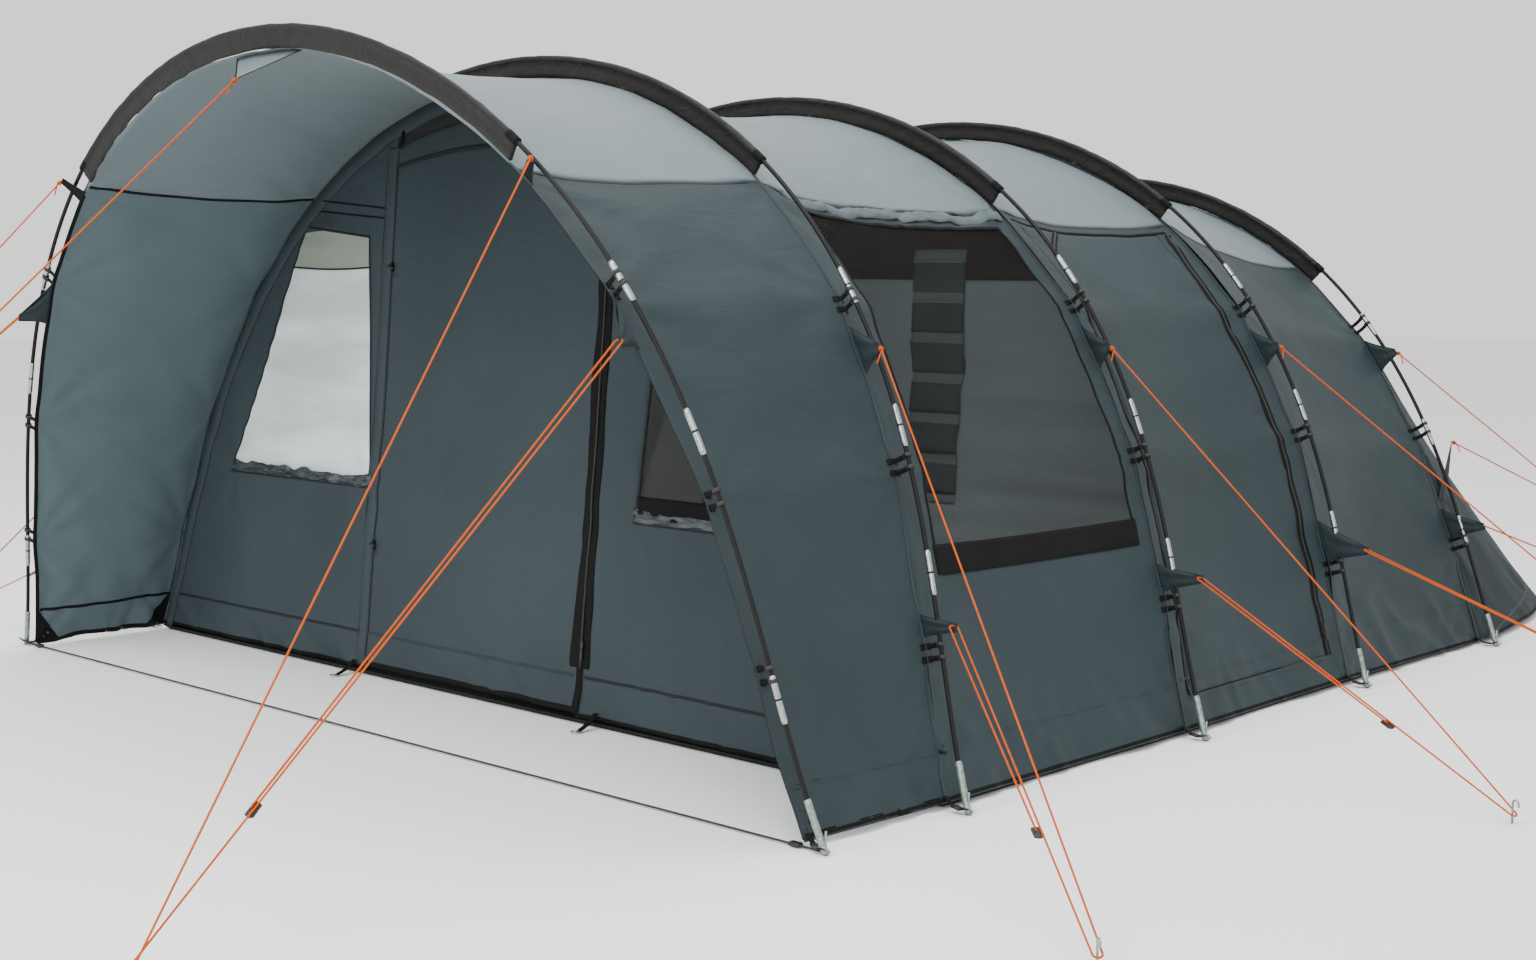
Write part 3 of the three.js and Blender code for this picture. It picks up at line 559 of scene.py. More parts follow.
# ================================================================ camera, light, floor
cam_data = bpy.data.cameras.new("camera")
cam_data.sensor_width = 36.0
cam_data.lens = 2111.78 * 36 / 1536
cam_data.clip_end = 100
cam = bpy.data.objects.new("camera", cam_data)
cam.location = (5.315, -3.627 + YS, 1.410)
cam.rotation_euler = (R(90 - 5.948), 0, R(44.035))
scene.collection.objects.link(cam)
scene.camera = cam

w = bpy.data.worlds.new("studio")
scene.world = w
w.use_nodes = True
w.node_tree.nodes["Background"].inputs[0].default_value = (1.0, 1.0, 1.0, 1)
w.node_tree.nodes["Background"].inputs[1].default_value = 1.25


def area(name, loc, target, size, power, col=(1, 1, 1)):
    d = bpy.data.lights.new(name, "AREA")
    d.energy, d.size, d.color = power, size, col
    o = bpy.data.objects.new(name, d)
    o.location = loc
    v = np.array(target, float) - np.array(loc, float)
    from mathutils import Vector
    o.rotation_euler = Vector(v).to_track_quat("-Z", "Y").to_euler()
    scene.collection.objects.link(o)
    return o


area("key", (1.5, -5.5, 7.0), (0, -0.8, 0.9), 5.0, 420)
area("top", (0.0, 0.2, 8.0), (0, 0.0, 0), 5.0, 330)
area("front", (0.8, -10.0, 4.2), (-0.6, -2.0, 0.9), 3.6, 250)
area("side", (6.6, -6.6, 3.6), (1.9, -2.2, 0.8), 2.6, 150)
area("inside", (0.45, -1.30, 1.30), (0.1, 0.5, 0.95), 0.4, 8.5, (0.86, 0.96, 1.0))

fm, fnt, fb = nodes_of("studio_floor")
fb.inputs["Base Color"].default_value = (0.92, 0.92, 0.92, 1)
fb.inputs["Roughness"].default_value = 0.9
fb.inputs["Specular IOR Level"].default_value = 0.1
bpy.ops.mesh.primitive_plane_add(size=60, location=(0, 0, -0.0008))
floor = bpy.context.object
floor.name = "floor"
floor.data.materials.append(fm)

# ================================================================ the fly: roof and wall panels of each bay
BAYS = ["canopy", "living", "bedroom_front", "bedroom_rear"]
WID = (0.7, 1.15, 1.05, 1.02)
WIN_S, WIN_V = (0.414, 0.800), (0.125, 0.945)
DOOR_S, DOOR_V = (0.402, 0.955), (0.07, 0.90)
flies = []


def lin(a, b, step):
    return np.linspace(a, b, max(2, int(round((b - a) / step)) + 1))


def breaks(vals, step):
    out = [vals[0]]
    for a, b in zip(vals[:-1], vals[1:]):
        out += list(lin(a, b, step)[1:])
    return np.array(out)


def keep_out(us, vs, ru, rv):
    mu, mv = (us[1:] + us[:-1]) / 2, (vs[1:] + vs[:-1]) / 2
    return ~((mu[:, None] > ru[0]) & (mu[:, None] < ru[1]) & (mv[None] > rv[0]) & (mv[None] < rv[1]))


for b, nm in enumerate(BAYS):
    sv = 0.018 / WID[b]
    vs = breaks([0, 0.04, 0.96, 1], sv) if b not in (1, 2) else breaks([0, WIN_V[0], WIN_V[1], 1] if b == 1 else [0, DOOR_V[0], DOOR_V[1], 1], sv)
    us = lin(-SEAM, SEAM, 0.0075)
    P, N = surf(b, us[:, None], vs[None])
    o = Build().add(*shell(P, N)).obj(nm + "_roof", m_roof)
    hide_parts(nm + "_roof"); flies.append(o)
    for side, sn in ((-1, "left"), (1, "right")):
        if b == 1:
            us = breaks([SEAM, WIN_S[0], WIN_S[1], HEM], 0.0052)
            k = keep_out(us, vs, WIN_S, WIN_V)
        elif b == 2 and side > 0:
            us = breaks([SEAM, DOOR_S[0], DOOR_S[1], HEM], 0.0052)
            k = keep_out(us, vs, DOOR_S, DOOR_V)
        else:
            us, k = lin(SEAM, HEM, 0.0052), None
        P, N = surf(b, side * us[:, None], vs[None])
        o = Build().add(*shell(P, N, keep=k, two=True)).obj(f"{nm}_{sn}", [m_wall, m_fly_inside_painted_light])
        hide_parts(f"{nm}_{sn}"); flies.append(o)

# side windows, behind a tape rim
for side, sn in ((-1, "left"), (1, "right")):
    us, vs = lin(WIN_S[0] - 0.002, WIN_S[1] + 0.002, 0.01), lin(WIN_V[0] - 0.005, WIN_V[1] + 0.005, 0.016)
    P, N = surf(1, side * us[:, None], vs[None], -0.0016)
    o = Build().add(*shell(P, N, 0.0006)).obj(f"window_{sn}", m_side)
    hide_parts(f"window_{sn}")

# side door: the cloth between its zips, on its own leaf
us, vs = lin(DOOR_S[0] + 0.0015, DOOR_S[1] - 0.001, 0.0052), lin(DOOR_V[0] + 0.0025, DOOR_V[1] - 0.0025, 0.018)
P, N = surf(2, us[:, None], vs[None])
o = Build().add(*shell(P, N, two=True)).obj("side_door", [m_wall, m_fly_inside_painted_light], body="side_door_leaf")
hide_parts("side_door"); flies.append(o)

# rear wall, its outer face in painted shade: a darker copy of the wall cloth
ws = lin(0.0, 1, 0.0125)
us = lin(-0.985, 0.985, 0.0065)
P, N = rear(us[:, None], ws[None])
o = Build().add(*shell(P, N, two=True)).obj("rear_wall", [m_wall_rear_painted_shade, m_fly_inside_painted_light])
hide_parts("rear_wall"); flies.append(o)


# ================================================================ tapes, seams, zips and hems on the fly
def dense(pts, step=0.012):
    pts = np.array(pts, float)
    l = np.concatenate([[0], np.cumsum(np.linalg.norm((pts[1:] - pts[:-1]) * [3.1, 1.1], axis=1))])
    t = np.linspace(0, l[-1], max(3, int(l[-1] / step)))
    return np.stack([np.interp(t, l, pts[:, 0]), np.interp(t, l, pts[:, 1])], 1)


def spline(pts, n=8):
    """a smooth path through (s, v) points"""
    p = np.array(pts, float)
    p = np.concatenate([[2 * p[0] - p[1]], p, [2 * p[-1] - p[-2]]])
    out = []
    for k in range(1, len(p) - 2):
        for t in np.linspace(0, 1, n, endpoint=False):
            out.append(0.5 * (2 * p[k] + (p[k + 1] - p[k - 1]) * t + (2 * p[k - 1] - 5 * p[k] + 4 * p[k + 1] - p[k + 2]) * t**2 + (3 * p[k] - p[k - 1] - 3 * p[k + 1] + p[k + 2]) * t**3))
    return np.array(out + [p[-2]])


def on_fly(b, pts, lift=0.0):
    q = dense(pts)
    return surf(b, q[:, 0], q[:, 1], lift)


def ribbon(B, b, pts, w, t=0.0014, m=0, lift=0.0):
    P, N = on_fly(b, pts, lift)
    B.add(*strip(P, N, flat_prof(w, t)), m)


def zipper(B, b, pts, w=0.030, both=True):
    """a zip: woven tape, its coil in the middle, and teeth across it"""
    P, N = on_fly(b, pts)
    B.add(*strip(P, N, flat_prof(w, 0.0013)), 0)
    B.add(*strip(P + N * 0.0014, N, flat_prof(0.0065, 0.0022)), 1)


seams = Build()
zips = Build()
hems = Build()
for b in range(4):
    for side in (-1, 1):
        ss = {0: 0.385, 1: 0.385, 2: 0.385, 3: 0.385}[b]
        ribbon(seams, b, [(side * (ss + 0.001), 0.015), (side * (ss + 0.001), 0.985)], 0.013, 0.0012)
        ribbon(seams, b, [(side * (0.946 - 0.004 * b), 0.02), (side * (0.946 - 0.004 * b), 0.98)], 0.009, 0.0011)   # above the mud flap
        ribbon(hems, b, [(side * (HEM - 0.003), 0.0), (side * (HEM - 0.003), 1.0)], 0.010, 0.0014)
        for v in (0.003, 0.997):                                      # bound edges along the arches
            ribbon(seams, b, [(side * (SEAM - 0.01), v), (side * (HEM - 0.002), v)], 0.012, 0.0014, m=0, lift=0.0002)
        if b == 0:                                                    # the taped side of the canopy's seams, seen from inside
            for pts, w_ in (([(side * 0.386, 0.01), (side * 0.386, 0.99)], 0.012), ([(side * 0.946, 0.02), (side * 0.946, 0.985)], 0.012), ([(side * 0.984, 0.0), (side * 0.984, 1.0)], 0.020), ([(side * 0.40, 0.004), (side * 0.985, 0.004)], 0.014)):
                P, N = on_fly(0, pts, -0.0011)
                hems.add(*strip(P, -N, flat_prof(w_, 0.0013)))
# rear seams and hem
for side in (-1, 1):
    for s in (0.33,):
        q = np.stack([np.full(60, side * s), np.linspace(0.01, 0.985, 60)], 1)
        P, N = rear(q[:, 0], q[:, 1]); seams.add(*strip(P, N, flat_prof(0.010, 0.0012)))
    q = np.stack([side * np.linspace(0.72, 0.60, 60), np.linspace(0.01, 0.99, 60)], 1)
    P, N = rear(q[:, 0], q[:, 1]); seams.add(*strip(P, N, flat_prof(0.010, 0.0012)))
q = np.linspace(-0.98, 0.98, 260)
P, N = rear(q, np.full_like(q, 0.993)); hems.add(*strip(P, N, flat_prof(0.012, 0.0014)))
P, N = rear(q, np.full_like(q, 0.90)); seams.add(*strip(P, N, flat_prof(0.009, 0.0011)))
# the canopy's lower corners carry black patches
for side in (-1, 1):
    for v0, dv in ((0.004, 1), (0.996, -1)):
        n = 14
        U, W = np.meshgrid(np.linspace(0, 1, n), np.linspace(0, 1, n), indexing="ij")
        S = HEM - 0.003 - 0.040 * U * 1.0
        Vv = v0 + dv * W * 0.16 * (1 - U)
        P, N = surf(0, side * S, Vv, -0.0013)
        hems.add(*shell(P, N, 0.0012))
# side window rims: black all round, wide and black at the foot
for side in (-1, 1):
    a, c = WIN_S
    v0, v1 = WIN_V
    ribbon(hems, 1, [(side * (a), v0), (side * (a), v1)], 0.014, 0.0014)
    for v in (v0, v1):
        ribbon(hems, 1, [(side * a, v), (side * c, v)], 0.009, 0.0014)
    n = 4
    US, VS = lin(c - 0.026, c + 0.001, 0.004), lin(v0 - 0.008, v1 + 0.008, 0.012)
    P, N = surf(1, side * US[:, None], VS[None], 0.0020)
    hems.add(*shell(P, N, 0.0014))
    # the rolled flap over the window
    L = lin(v0 - 0.045, v1 + 0.035, 0.006)
    S0 = 0.3975 + 0.0022 * noise(L * 18, L * 0, 33)
    Pf, Nf = surf(1, side * S0, L, 0.004)
    ang_ = np.linspace(0, 2 * math.pi, 15)[:-1]
    Tf = tangents(Pf); Sf = np.cross(Tf, Nf); Sf /= np.linalg.norm(Sf, axis=1, keepdims=True)
    Lc = L[:, None]
    rw = 0.023 + 0.004 * noise(Lc * 26, ang_[None] * 0.7, 34) + 0.002 * noise(Lc * 60, ang_[None] * 1.5, 35)
    rn_ = 0.0075 + 0.0035 * noise(Lc * 22, ang_[None] * 0.8 + 3, 36) + 0.0018 * noise(Lc * 70, ang_[None] * 1.4, 37)
    Vr = (Pf[:, None] + Sf[:, None] * (rw * np.cos(ang_)[None])[..., None] + Nf[:, None] * (rn_ * np.sin(ang_)[None])[..., None]).reshape(-1, 3)
    Fr = quads(len(L), 14, close_v=True)
    Fr += [tuple(range(14)), tuple((len(L) - 1) * 14 + j for j in reversed(range(14)))]
    roll_b = Build().add(Vr, Fr)
    roll_b.obj(f"window_blind_roll_{'left' if side < 0 else 'right'}", m_roll)
# the side door's zips
dz = Build()
left_zip = spline([(DOOR_S[0] + 0.002, 0.30), (0.45, 0.16), (0.53, 0.085), (0.64, 0.062), (0.80, 0.060), (0.955, 0.060)])
right_zip = spline([(DOOR_S[0] + 0.002, 0.955), (0.47, 0.918), (0.575, 0.905), (0.78, 0.912), (0.955, 0.914)])
zipper(dz, 2, left_zip, 0.024)
zipper(dz, 2, right_zip, 0.036)
P, N = on_fly(2, [(0.400, 0.04), (0.400, 0.955)]); dz.add(*strip(P, N, flat_prof(0.012, 0.0013)), 0)
P, N = on_fly(2, [(0.958, 0.05), (0.958, 0.92)]); dz.add(*strip(P, N, flat_prof(0.009, 0.0012)), 2)
o = dz.obj("side_door_zips", [m_tape, m_zip, m_seam])
o = seams.obj("fly_seams", [m_seam])
o = hems.obj("fly_hems", m_tape)

# ================================================================ poles, sleeves, clips and feet
poles, ferr, steel = [], [], []
FERR = [[0.532, 0.665, 0.878], [0.535, 0.672, 0.80], [0.50, 0.675, 0.82], [0.50, 0.675, 0.82], [0.525, 0.70, 0.84]]
FEET_S = 0.957
for i in range(5):
    B = Build()
    ss = lin(-1, 1, 0.008)
    B.add(*tube(arch_at(i, ss), 0.0065, 20), 0)
    for side in (-1, 1):
        for f in [0.16] + FERR[i]:
            q = side * lin(f - 0.019, f + 0.019, 0.003)
            r = np.full(len(q), 0.0081); r[[0, -1]] = 0.0067
            B.add(*tube(arch_at(i, q), r, 20), 1)
            q = side * lin(f - 0.0008, f + 0.0008, 0.0008)
            B.add(*tube(arch_at(i, q), 0.0086, 20), 0)
        q = side * np.concatenate([[FEET_S - 0.001], lin(FEET_S, 1.0, 0.004)])
        r = np.full(len(q), 0.0093); r[0] = 0.007
        B.add(*tube(arch_at(i, q), r, 20), 2)
        q = side * lin(0.986, 1.0, 0.003)
        B.add(*tube(arch_at(i, q), 0.0094, 20), 2)
    o = B.obj(f"pole_{i+1}", [m_pole, m_ferrule, m_steel])
    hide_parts(f"pole_{i+1}")

for i in range(5):
    S = (9 / 24, 9 / 24, 9 / 24, 9 / 24, 10 / 24)[i]
    ss = lin(-S, S, 0.0028)
    out, acr = arch_frame(i, ss)
    C = arch_at(i, ss)
    ang = np.radians(np.linspace(-152, 152, 15))
    prof = [(-0.0032, -0.058), (-0.0045, -0.044), (-0.006, -0.028)]
    prof += [(math.sin(a) * 0.0108, math.cos(a) * 0.0108) for a in ang]
    prof += [(0.006, -0.028), (0.0045, -0.044), (0.0032, -0.058)]
    prof = np.array(prof)
    n, m = len(ss), len(prof)
    V = np.zeros((n, m, 3))
    l = ss * LEN[i] if False else ss * 3.1
    for j, (pa, po) in enumerate(prof):
        k = np.hypot(pa, po)
        low = min(1, max(0, (-po - 0.008) / 0.03))
        wob = 0.0016 * noise(l * 22 + j * 0.15, np.full(n, j * 0.55 + i), 71) + 0.0028 * low * noise(l * 13, np.full(n, (1 if pa > 0 else 5) + i * 2.0), 72)
        rad = 1 + 0.10 * noise(l * 30, np.full(n, j * 0.6 + i * 3), 73) * (1 - low)
        V[:, j] = C + acr * (pa * rad + np.sign(pa + 1e-9) * wob * (0.4 + low) + np.where(low > 0, wob, 0))[:, None] + out * (po * rad + 0.0012 * low * noise(l * 18, np.full(n, 2.0), 74))[:, None]
    F = quads(n, m, close_v=True)
    F.append(tuple(range(m))); F.append(tuple((n - 1) * m + j for j in reversed(range(m))))
    B = Build().add(V, F, 0)
    # end cuffs with a bound edge and a loop
    for side in (-1, 1):
        q = side * lin(S - 0.012, S + 0.001, 0.002)
        B.add(*tube(arch_at(i, q), 0.0122, 16), 1)
    o = B.obj(f"sleeve_{i+1}", [m_trim, m_tape]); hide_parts(f"sleeve_{i+1}")

# clips: two hooks on a webbing tab at each place
clips = Build()
CLIP_AT = [[0.529, 0.718, 0.858], [0.545, 0.704, 0.865], [0.536, 0.711, 0.863], [0.539, 0.706, 0.863], [0.517, 0.694, 0.855]]
for i in range(5):
    for side in (-1, 1):
        for c in CLIP_AT[i]:
            for dl in (-0.017, 0.017):
                s = side * (c + dl / LEN[i])
                out, acr = arch_frame(i, np.array(s))
                pc = arch_at(i, np.array(s))
                # webbing from the fly to the hook
                e = float(edge_off(np.array(s)))
                t = np.linspace(0, 1, 8)
                Pn = pc[None] - out[None] * (0.010 + (e - 0.006) * t)[:, None] + acr[None] * (0.004 * np.sin(t * math.pi))[:, None]
                al = np.cross(out, acr)
                clips.add(*strip(Pn, np.tile(acr, (8, 1)), flat_prof(0.014, 0.0018)), 1)
                # the hook round the pole, open at one side
                a = np.radians(np.linspace(-40, 275, 16))
                H = pc[None] + 0.0098 * (acr[None] * np.cos(a)[:, None] * 1.0 - out[None] * np.sin(a)[:, None])
                clips.add(*strip(H, np.cos(a)[:, None] * acr[None] - np.sin(a)[:, None] * out[None], [(-0.005, -0.0016), (0.005, -0.0016), (0.005, 0.0018), (-0.005, 0.0018)]), 0)
                # its bar
                bar = np.stack([pc - out * 0.014 - al * 0.009, pc - out * 0.014 + al * 0.009])
                clips.add(*tube(bar, 0.0022, 8), 0)
            # patch on the fly edge under the pair
            for k, bb in enumerate((i - 1, i)):
                if 0 <= bb <= 3:
                    vv = np.linspace(0.0, 0.022 / WID[bb], 4)
                    vv = 1 - vv if k == 0 else vv
                    for dl in (-0.017, 0.017):
                        US = side * lin(c + dl / LEN[i] - 0.0028, c + dl / LEN[i] + 0.0028, 0.0014)
                        P, N = surf(bb, US[:, None], vv[None], 0.0024)
                        clips.add(*shell(P, N, 0.0010), 1)
o = clips.obj("pole_clips", [m_plastic, m_tape])

# feet: pin, ring and the webbing that ties each foot to the fly
feet = Build()
for i in range(5):
    for side in (-1, 1):
        foot = arch_at(i, np.array(side * 1.0))
        th = np.radians(np.linspace(0, 360, 25))[:-1]
        rc = foot + np.array([side * -0.006, 0, 0.0])
        c0 = rc + np.array([side * 0.012, -0.012, 0.017])
        ring = c0 + 0.014 * (np.cos(th)[:, None] * np.array([[1.0, 0, 0]]) + np.sin(th)[:, None] * np.array([[0, 0.75, -0.66]]))
        feet.add(*tube(ring, 0.0022, 8, closed=True), 0)
        pin = np.stack([foot + [0, 0, 0.058], foot + [side * -0.006, 0.004, 0.010], foot + [side * -0.012, 0.010, 0.0035], foot + [side * -0.03, 0.022, 0.0035]])
        feet.add(*tube(pin, 0.0028, 8), 0)
        # webbing, from the hem up to the ring
        bb, vv = (0, 0.03) if i == 0 else (i - 1, 0.985)
        e = side * (HEM - 0.006)
        P0, N0 = surf(bb, np.array([e]), np.array([vv]))
        t = np.linspace(0, 1, 10)[:, None]
        a0 = P0[0] + N0[0] * 0.003
        pth = a0 * (1 - t) + c0 * t + np.array([0, 0, -0.012]) * np.sin(t * math.pi)
        pth[:, 2] = np.maximum(pth[:, 2], 0.003)
        feet.add(*strip(pth, np.tile(np.array([0, 0.1, 1.0]), (10, 1)), flat_prof(0.016, 0.0018)), 1)
        # buckle
        mid = pth[5]
        d = (pth[6] - pth[4]) / np.linalg.norm(pth[6] - pth[4])
        feet.add(*strip(np.stack([mid - d * 0.014, mid, mid + d * 0.014]), np.tile(np.array([0, 0.1, 1.0]), (3, 1)), [(-0.012, -0.002), (0.012, -0.002), (0.012, 0.004), (-0.012, 0.004)]), 2)
# webbing and rings under the front wall
for x in (-0.675, 0.576):
    p0 = lean(1, x, 0.045, -0.003)
    t = np.linspace(0, 1, 12)[:, None]
    pth = p0 + t * np.array([0.012, -0.085, -0.040]) * 1.0 + np.array([0, 0, -0.006]) * np.sin(t * math.pi)
    pth[:, 2] = np.maximum(pth[:, 2], 0.004)
    feet.add(*strip(pth, np.tile(np.array([0, 0.3, 1.0]), (12, 1)), flat_prof(0.018, 0.0018)), 1)
    th = np.radians(np.linspace(0, 360, 21))[:-1]
    c0 = pth[-1] + np.array([0, -0.010, 0.002])
    ring = c0 + 0.012 * (np.cos(th)[:, None] * np.array([[1.0, 0, 0]]) + np.sin(th)[:, None] * np.array([[0, 1.0, 0.0]]))
    ring[:, 2] = np.maximum(ring[:, 2], 0.003)
    feet.add(*tube(ring, 0.0020, 8, closed=True), 0)
o = feet.obj("foot_rings_and_webbing", [m_steel, m_tape, m_plastic])


# ================================================================ the front wall, in the second arch's plane
_sr = np.linspace(0, 1, 600)
RX, RH = arch_plane(1, _sr, 0.068)
RXt, RHt = arch_plane(1, _sr, 0.062)


def rim_x(h):
    return np.interp(h, RH[::-1], RX[::-1])


def rim_h(x):
    return np.interp(np.abs(x), RX, RH)


def fw_disp(x, h):
    d = 0.006 * fbm(x * 1.4 + 3, h * 1.0, 81) + 0.0022 * fbm(x * 5 + h * 1.3, h * 2.3 - x, 82)
    d = d + np.clip((0.20 - h) / 0.1, 0, 1) * 0.010 * (ridge(x * 8 + h * 9, h * 7 + x, 83) - 0.3)
    d = d + np.exp(-np.abs(h - 0.15) / 0.05) * 0.003 * noise(x * 14 + h * 6, h * 10, 86)
    rx = rim_x(np.clip(h, 0, 1.9))
    r = np.clip((np.abs(x) / np.maximum(rx, 0.2) - 0.72) / 0.28, 0, 1)
    d = d + r * 0.0016 * np.sin(h * 2 * math.pi / 0.085 + 2.5 * noise(h * 5, np.abs(x) * 0.2, 84)) * (1 - r) * 4
    # folds that run down from the corners of the windows
    for cx, ch in ((0.70, 0.655), (-0.70, 0.655), (1.5, 0.655), (-1.5, 0.655)):
        rr = np.hypot(x - cx, h - ch)
        d = d + 0.004 * np.sin(np.arctan2(x - cx, ch - h) * 6) * np.exp(-rr / 0.14) * (rr / 0.08)
    return d * np.clip((rim_h(x) - h) / 0.05, 0, 1)


def fw(x, h, lift=0.0):
    """a point of the front wall; lift is toward the canopy"""
    x, h = np.broadcast_arrays(np.asarray(x, float), np.asarray(h, float))
    return lean(1, x, h, -(fw_disp(x, h) + lift))


FWN = lean(1, 0, 0, -1.0) - lean(1, 0, 0, 0)


def fw_shell(B, X, H, t=0.0011, lift=0.0, m=0, keep=None):
    P = fw(X, H, lift)
    B.add(*shell(P, np.broadcast_to(FWN, P.shape), t, keep), m)


def fw_ribbon(B, pts, w, t=0.0014, m=0, lift=0.0):
    pts = np.array(pts, float)
    l = np.concatenate([[0], np.cumsum(np.linalg.norm(pts[1:] - pts[:-1], axis=1))])
    q = np.linspace(0, l[-1], max(3, int(l[-1] / 0.012)))
    P = fw(np.interp(q, l, pts[:, 0]), np.interp(q, l, pts[:, 1]), lift)
    B.add(*strip(P, np.tile(FWN, (len(q), 1)), flat_prof(w, t)), m)


WINQ = {-1: [(-0.756, 1.497), (-0.672, 0.655), (-1.525, 0.650), (-1.150, 1.536)], 1: [(0.725, 1.495), (0.690, 0.650), (1.500, 0.655), (1.140, 1.515)]}
fd_x0, fd_x1 = -0.620, 0.480
for side, sn in ((-1, "left"), (1, "right")):
    x0 = 0.623 if side < 0 else 0.483
    q = [(abs(a), b_) for a, b_ in WINQ[side]]
    (ax, ah), (bx, bh), (cx, ch), (dx, dh) = q          # inner top, inner bottom, outer bottom, outer top
    top = float(rim_h(x0)) - 0.001
    hs = breaks([0.024, bh, ah, top], 0.014)
    def win_x(h):
        t = np.clip((h - bh) / (ah - bh), 0, 1)
        xa, xb = bx + (ax - bx) * t, cx + (dx - cx) * t
        up = np.clip((h - ah) / (top - ah), 0, 1)
        xr = rim_x(h)
        xa = xa * (1 - up) + (x0 + (xr - x0) * 0.33) * up
        xb = xb * (1 - up) + (x0 + (xr - x0) * 0.66) * up
        dn = np.clip((bh - h) / bh, 0, 1)
        return xa, np.minimum(xb, xr - 0.004)
    nA, nB, nC = 8 if side > 0 else 6, 54, 26
    rows = []
    for h in hs:
        xa, xb = win_x(h)
        xr = float(rim_x(h))
        rows.append(np.concatenate([np.linspace(x0, xa, nA), np.linspace(xa, xb, nB)[1:], np.linspace(xb, xr, nC)[1:]]))
    X = np.array(rows)
    H = np.repeat(hs[:, None], X.shape[1], 1)
    tilt = (dh - ah) / (dx - ax)
    wgt = np.clip(1 - np.abs(H - ah) / 0.30, 0, 1)
    H = H + wgt * tilt * (X - ax) * np.clip((rim_h(X) - H) / 0.2, 0, 1)
    mh = (hs[1:] + hs[:-1]) / 2
    keep = np.ones((len(hs) - 1, X.shape[1] - 1), bool)
    keep[np.ix_((mh > bh) & (mh < ah), np.arange(nA - 1, nA + nB - 2))] = False
    B = Build()
    fw_shell(B, side * X, H, keep=keep)
    o = B.obj(f"front_wall_{sn}", m_front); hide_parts(f"front_wall_{sn}"); flies.append(o)
    # the window film
    rows_i = np.where((hs >= bh - 1e-6) & (hs <= ah + 1e-6))[0]
    Xw, Hw = X[rows_i][:, nA - 1:nA + nB - 1], H[rows_i][:, nA - 1:nA + nB - 1]
    c = np.array([Xw.mean(), Hw.mean()])
    Xw, Hw = c[0] + (Xw - c[0]) * 1.008, c[1] + (Hw - c[1]) * 1.008
    if side < 0:
        # clear film below, a light cloth band along its top
        cut = 1.392
        def pane(h0, h1, n, lift, thick, name, mat, m_=0.004):
            tt, uu = np.linspace(0, 1, n), np.linspace(0, 1, 60)
            T_, U_ = np.meshgrid(tt, uu, indexing="ij")
            g0 = (h0 - bh) / (ah - bh)
            xi = lambda h: bx + (ax - bx) * (h - bh) / (ah - bh)
            xo = lambda h: cx + (dx - cx) * (h - ch) / (dh - ch)
            hh_ = h0 + (h1 - h0) * T_
            for _ in range(2):
                XX = (xi(hh_) - m_) * (1 - U_) + (xo(hh_) + m_) * U_
                edge = ah + tilt * (XX - ax) + 0.004
                top_h = np.minimum(edge, 9) if h1 > 1.4 else np.full_like(XX, h1) - 0.007 * np.sin(U_ * math.pi)
                bot_h = np.full_like(XX, h0) - (0.007 * np.sin(U_ * math.pi) if h1 > 1.4 else 0.004)
                hh_ = bot_h * (1 - T_) + top_h * T_
            P_ = fw(side * XX, hh_, lift)
            o_ = Build().add(*shell(P_, np.broadcast_to(FWN, P_.shape), thick)).obj(name, mat)
            return o_
        o = pane(bh, cut + 0.004, 40, -0.0012, 0.0005, "front_window_left", m_film_painted_glow)
        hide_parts("front_window_left")
        o = pane(cut - 0.002, ah, 16, -0.0004, 0.0008, "front_window_left_band", m_olive)
        Bb = Build()
        uu = np.linspace(0, 1, 60)
        xx_ = (bx + (ax - bx) * (cut - bh) / (ah - bh)) * (1 - uu) + (cx + (dx - cx) * (cut - ch) / (dh - ch)) * uu
        P_ = fw(side * xx_, cut - 0.007 * np.sin(uu * math.pi), 0.0006)
        Bb.add(*strip(P_, np.tile(FWN, (60, 1)), flat_prof(0.006, 0.0012)))
        Bb.obj("front_window_left_seam", m_line)
    else:
        B = Build()
        P = fw(side * Xw, Hw, -0.0012)
        B.add(*shell(P, np.broadcast_to(FWN, P.shape), 0.0005), 0)
        o = B.obj("front_window_right", m_smoke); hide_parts("front_window_right")
    # rim tape
    B = Build()
    per = [(side * x, h) for x, h in q]
    fw_ribbon(B, [per[0], per[1]], 0.008, m=2, lift=0.0002)
    fw_ribbon(B, [per[2], per[3]], 0.008, m=2, lift=0.0002)
    fw_ribbon(B, [per[3], per[0]], 0.008, m=2, lift=0.0002)
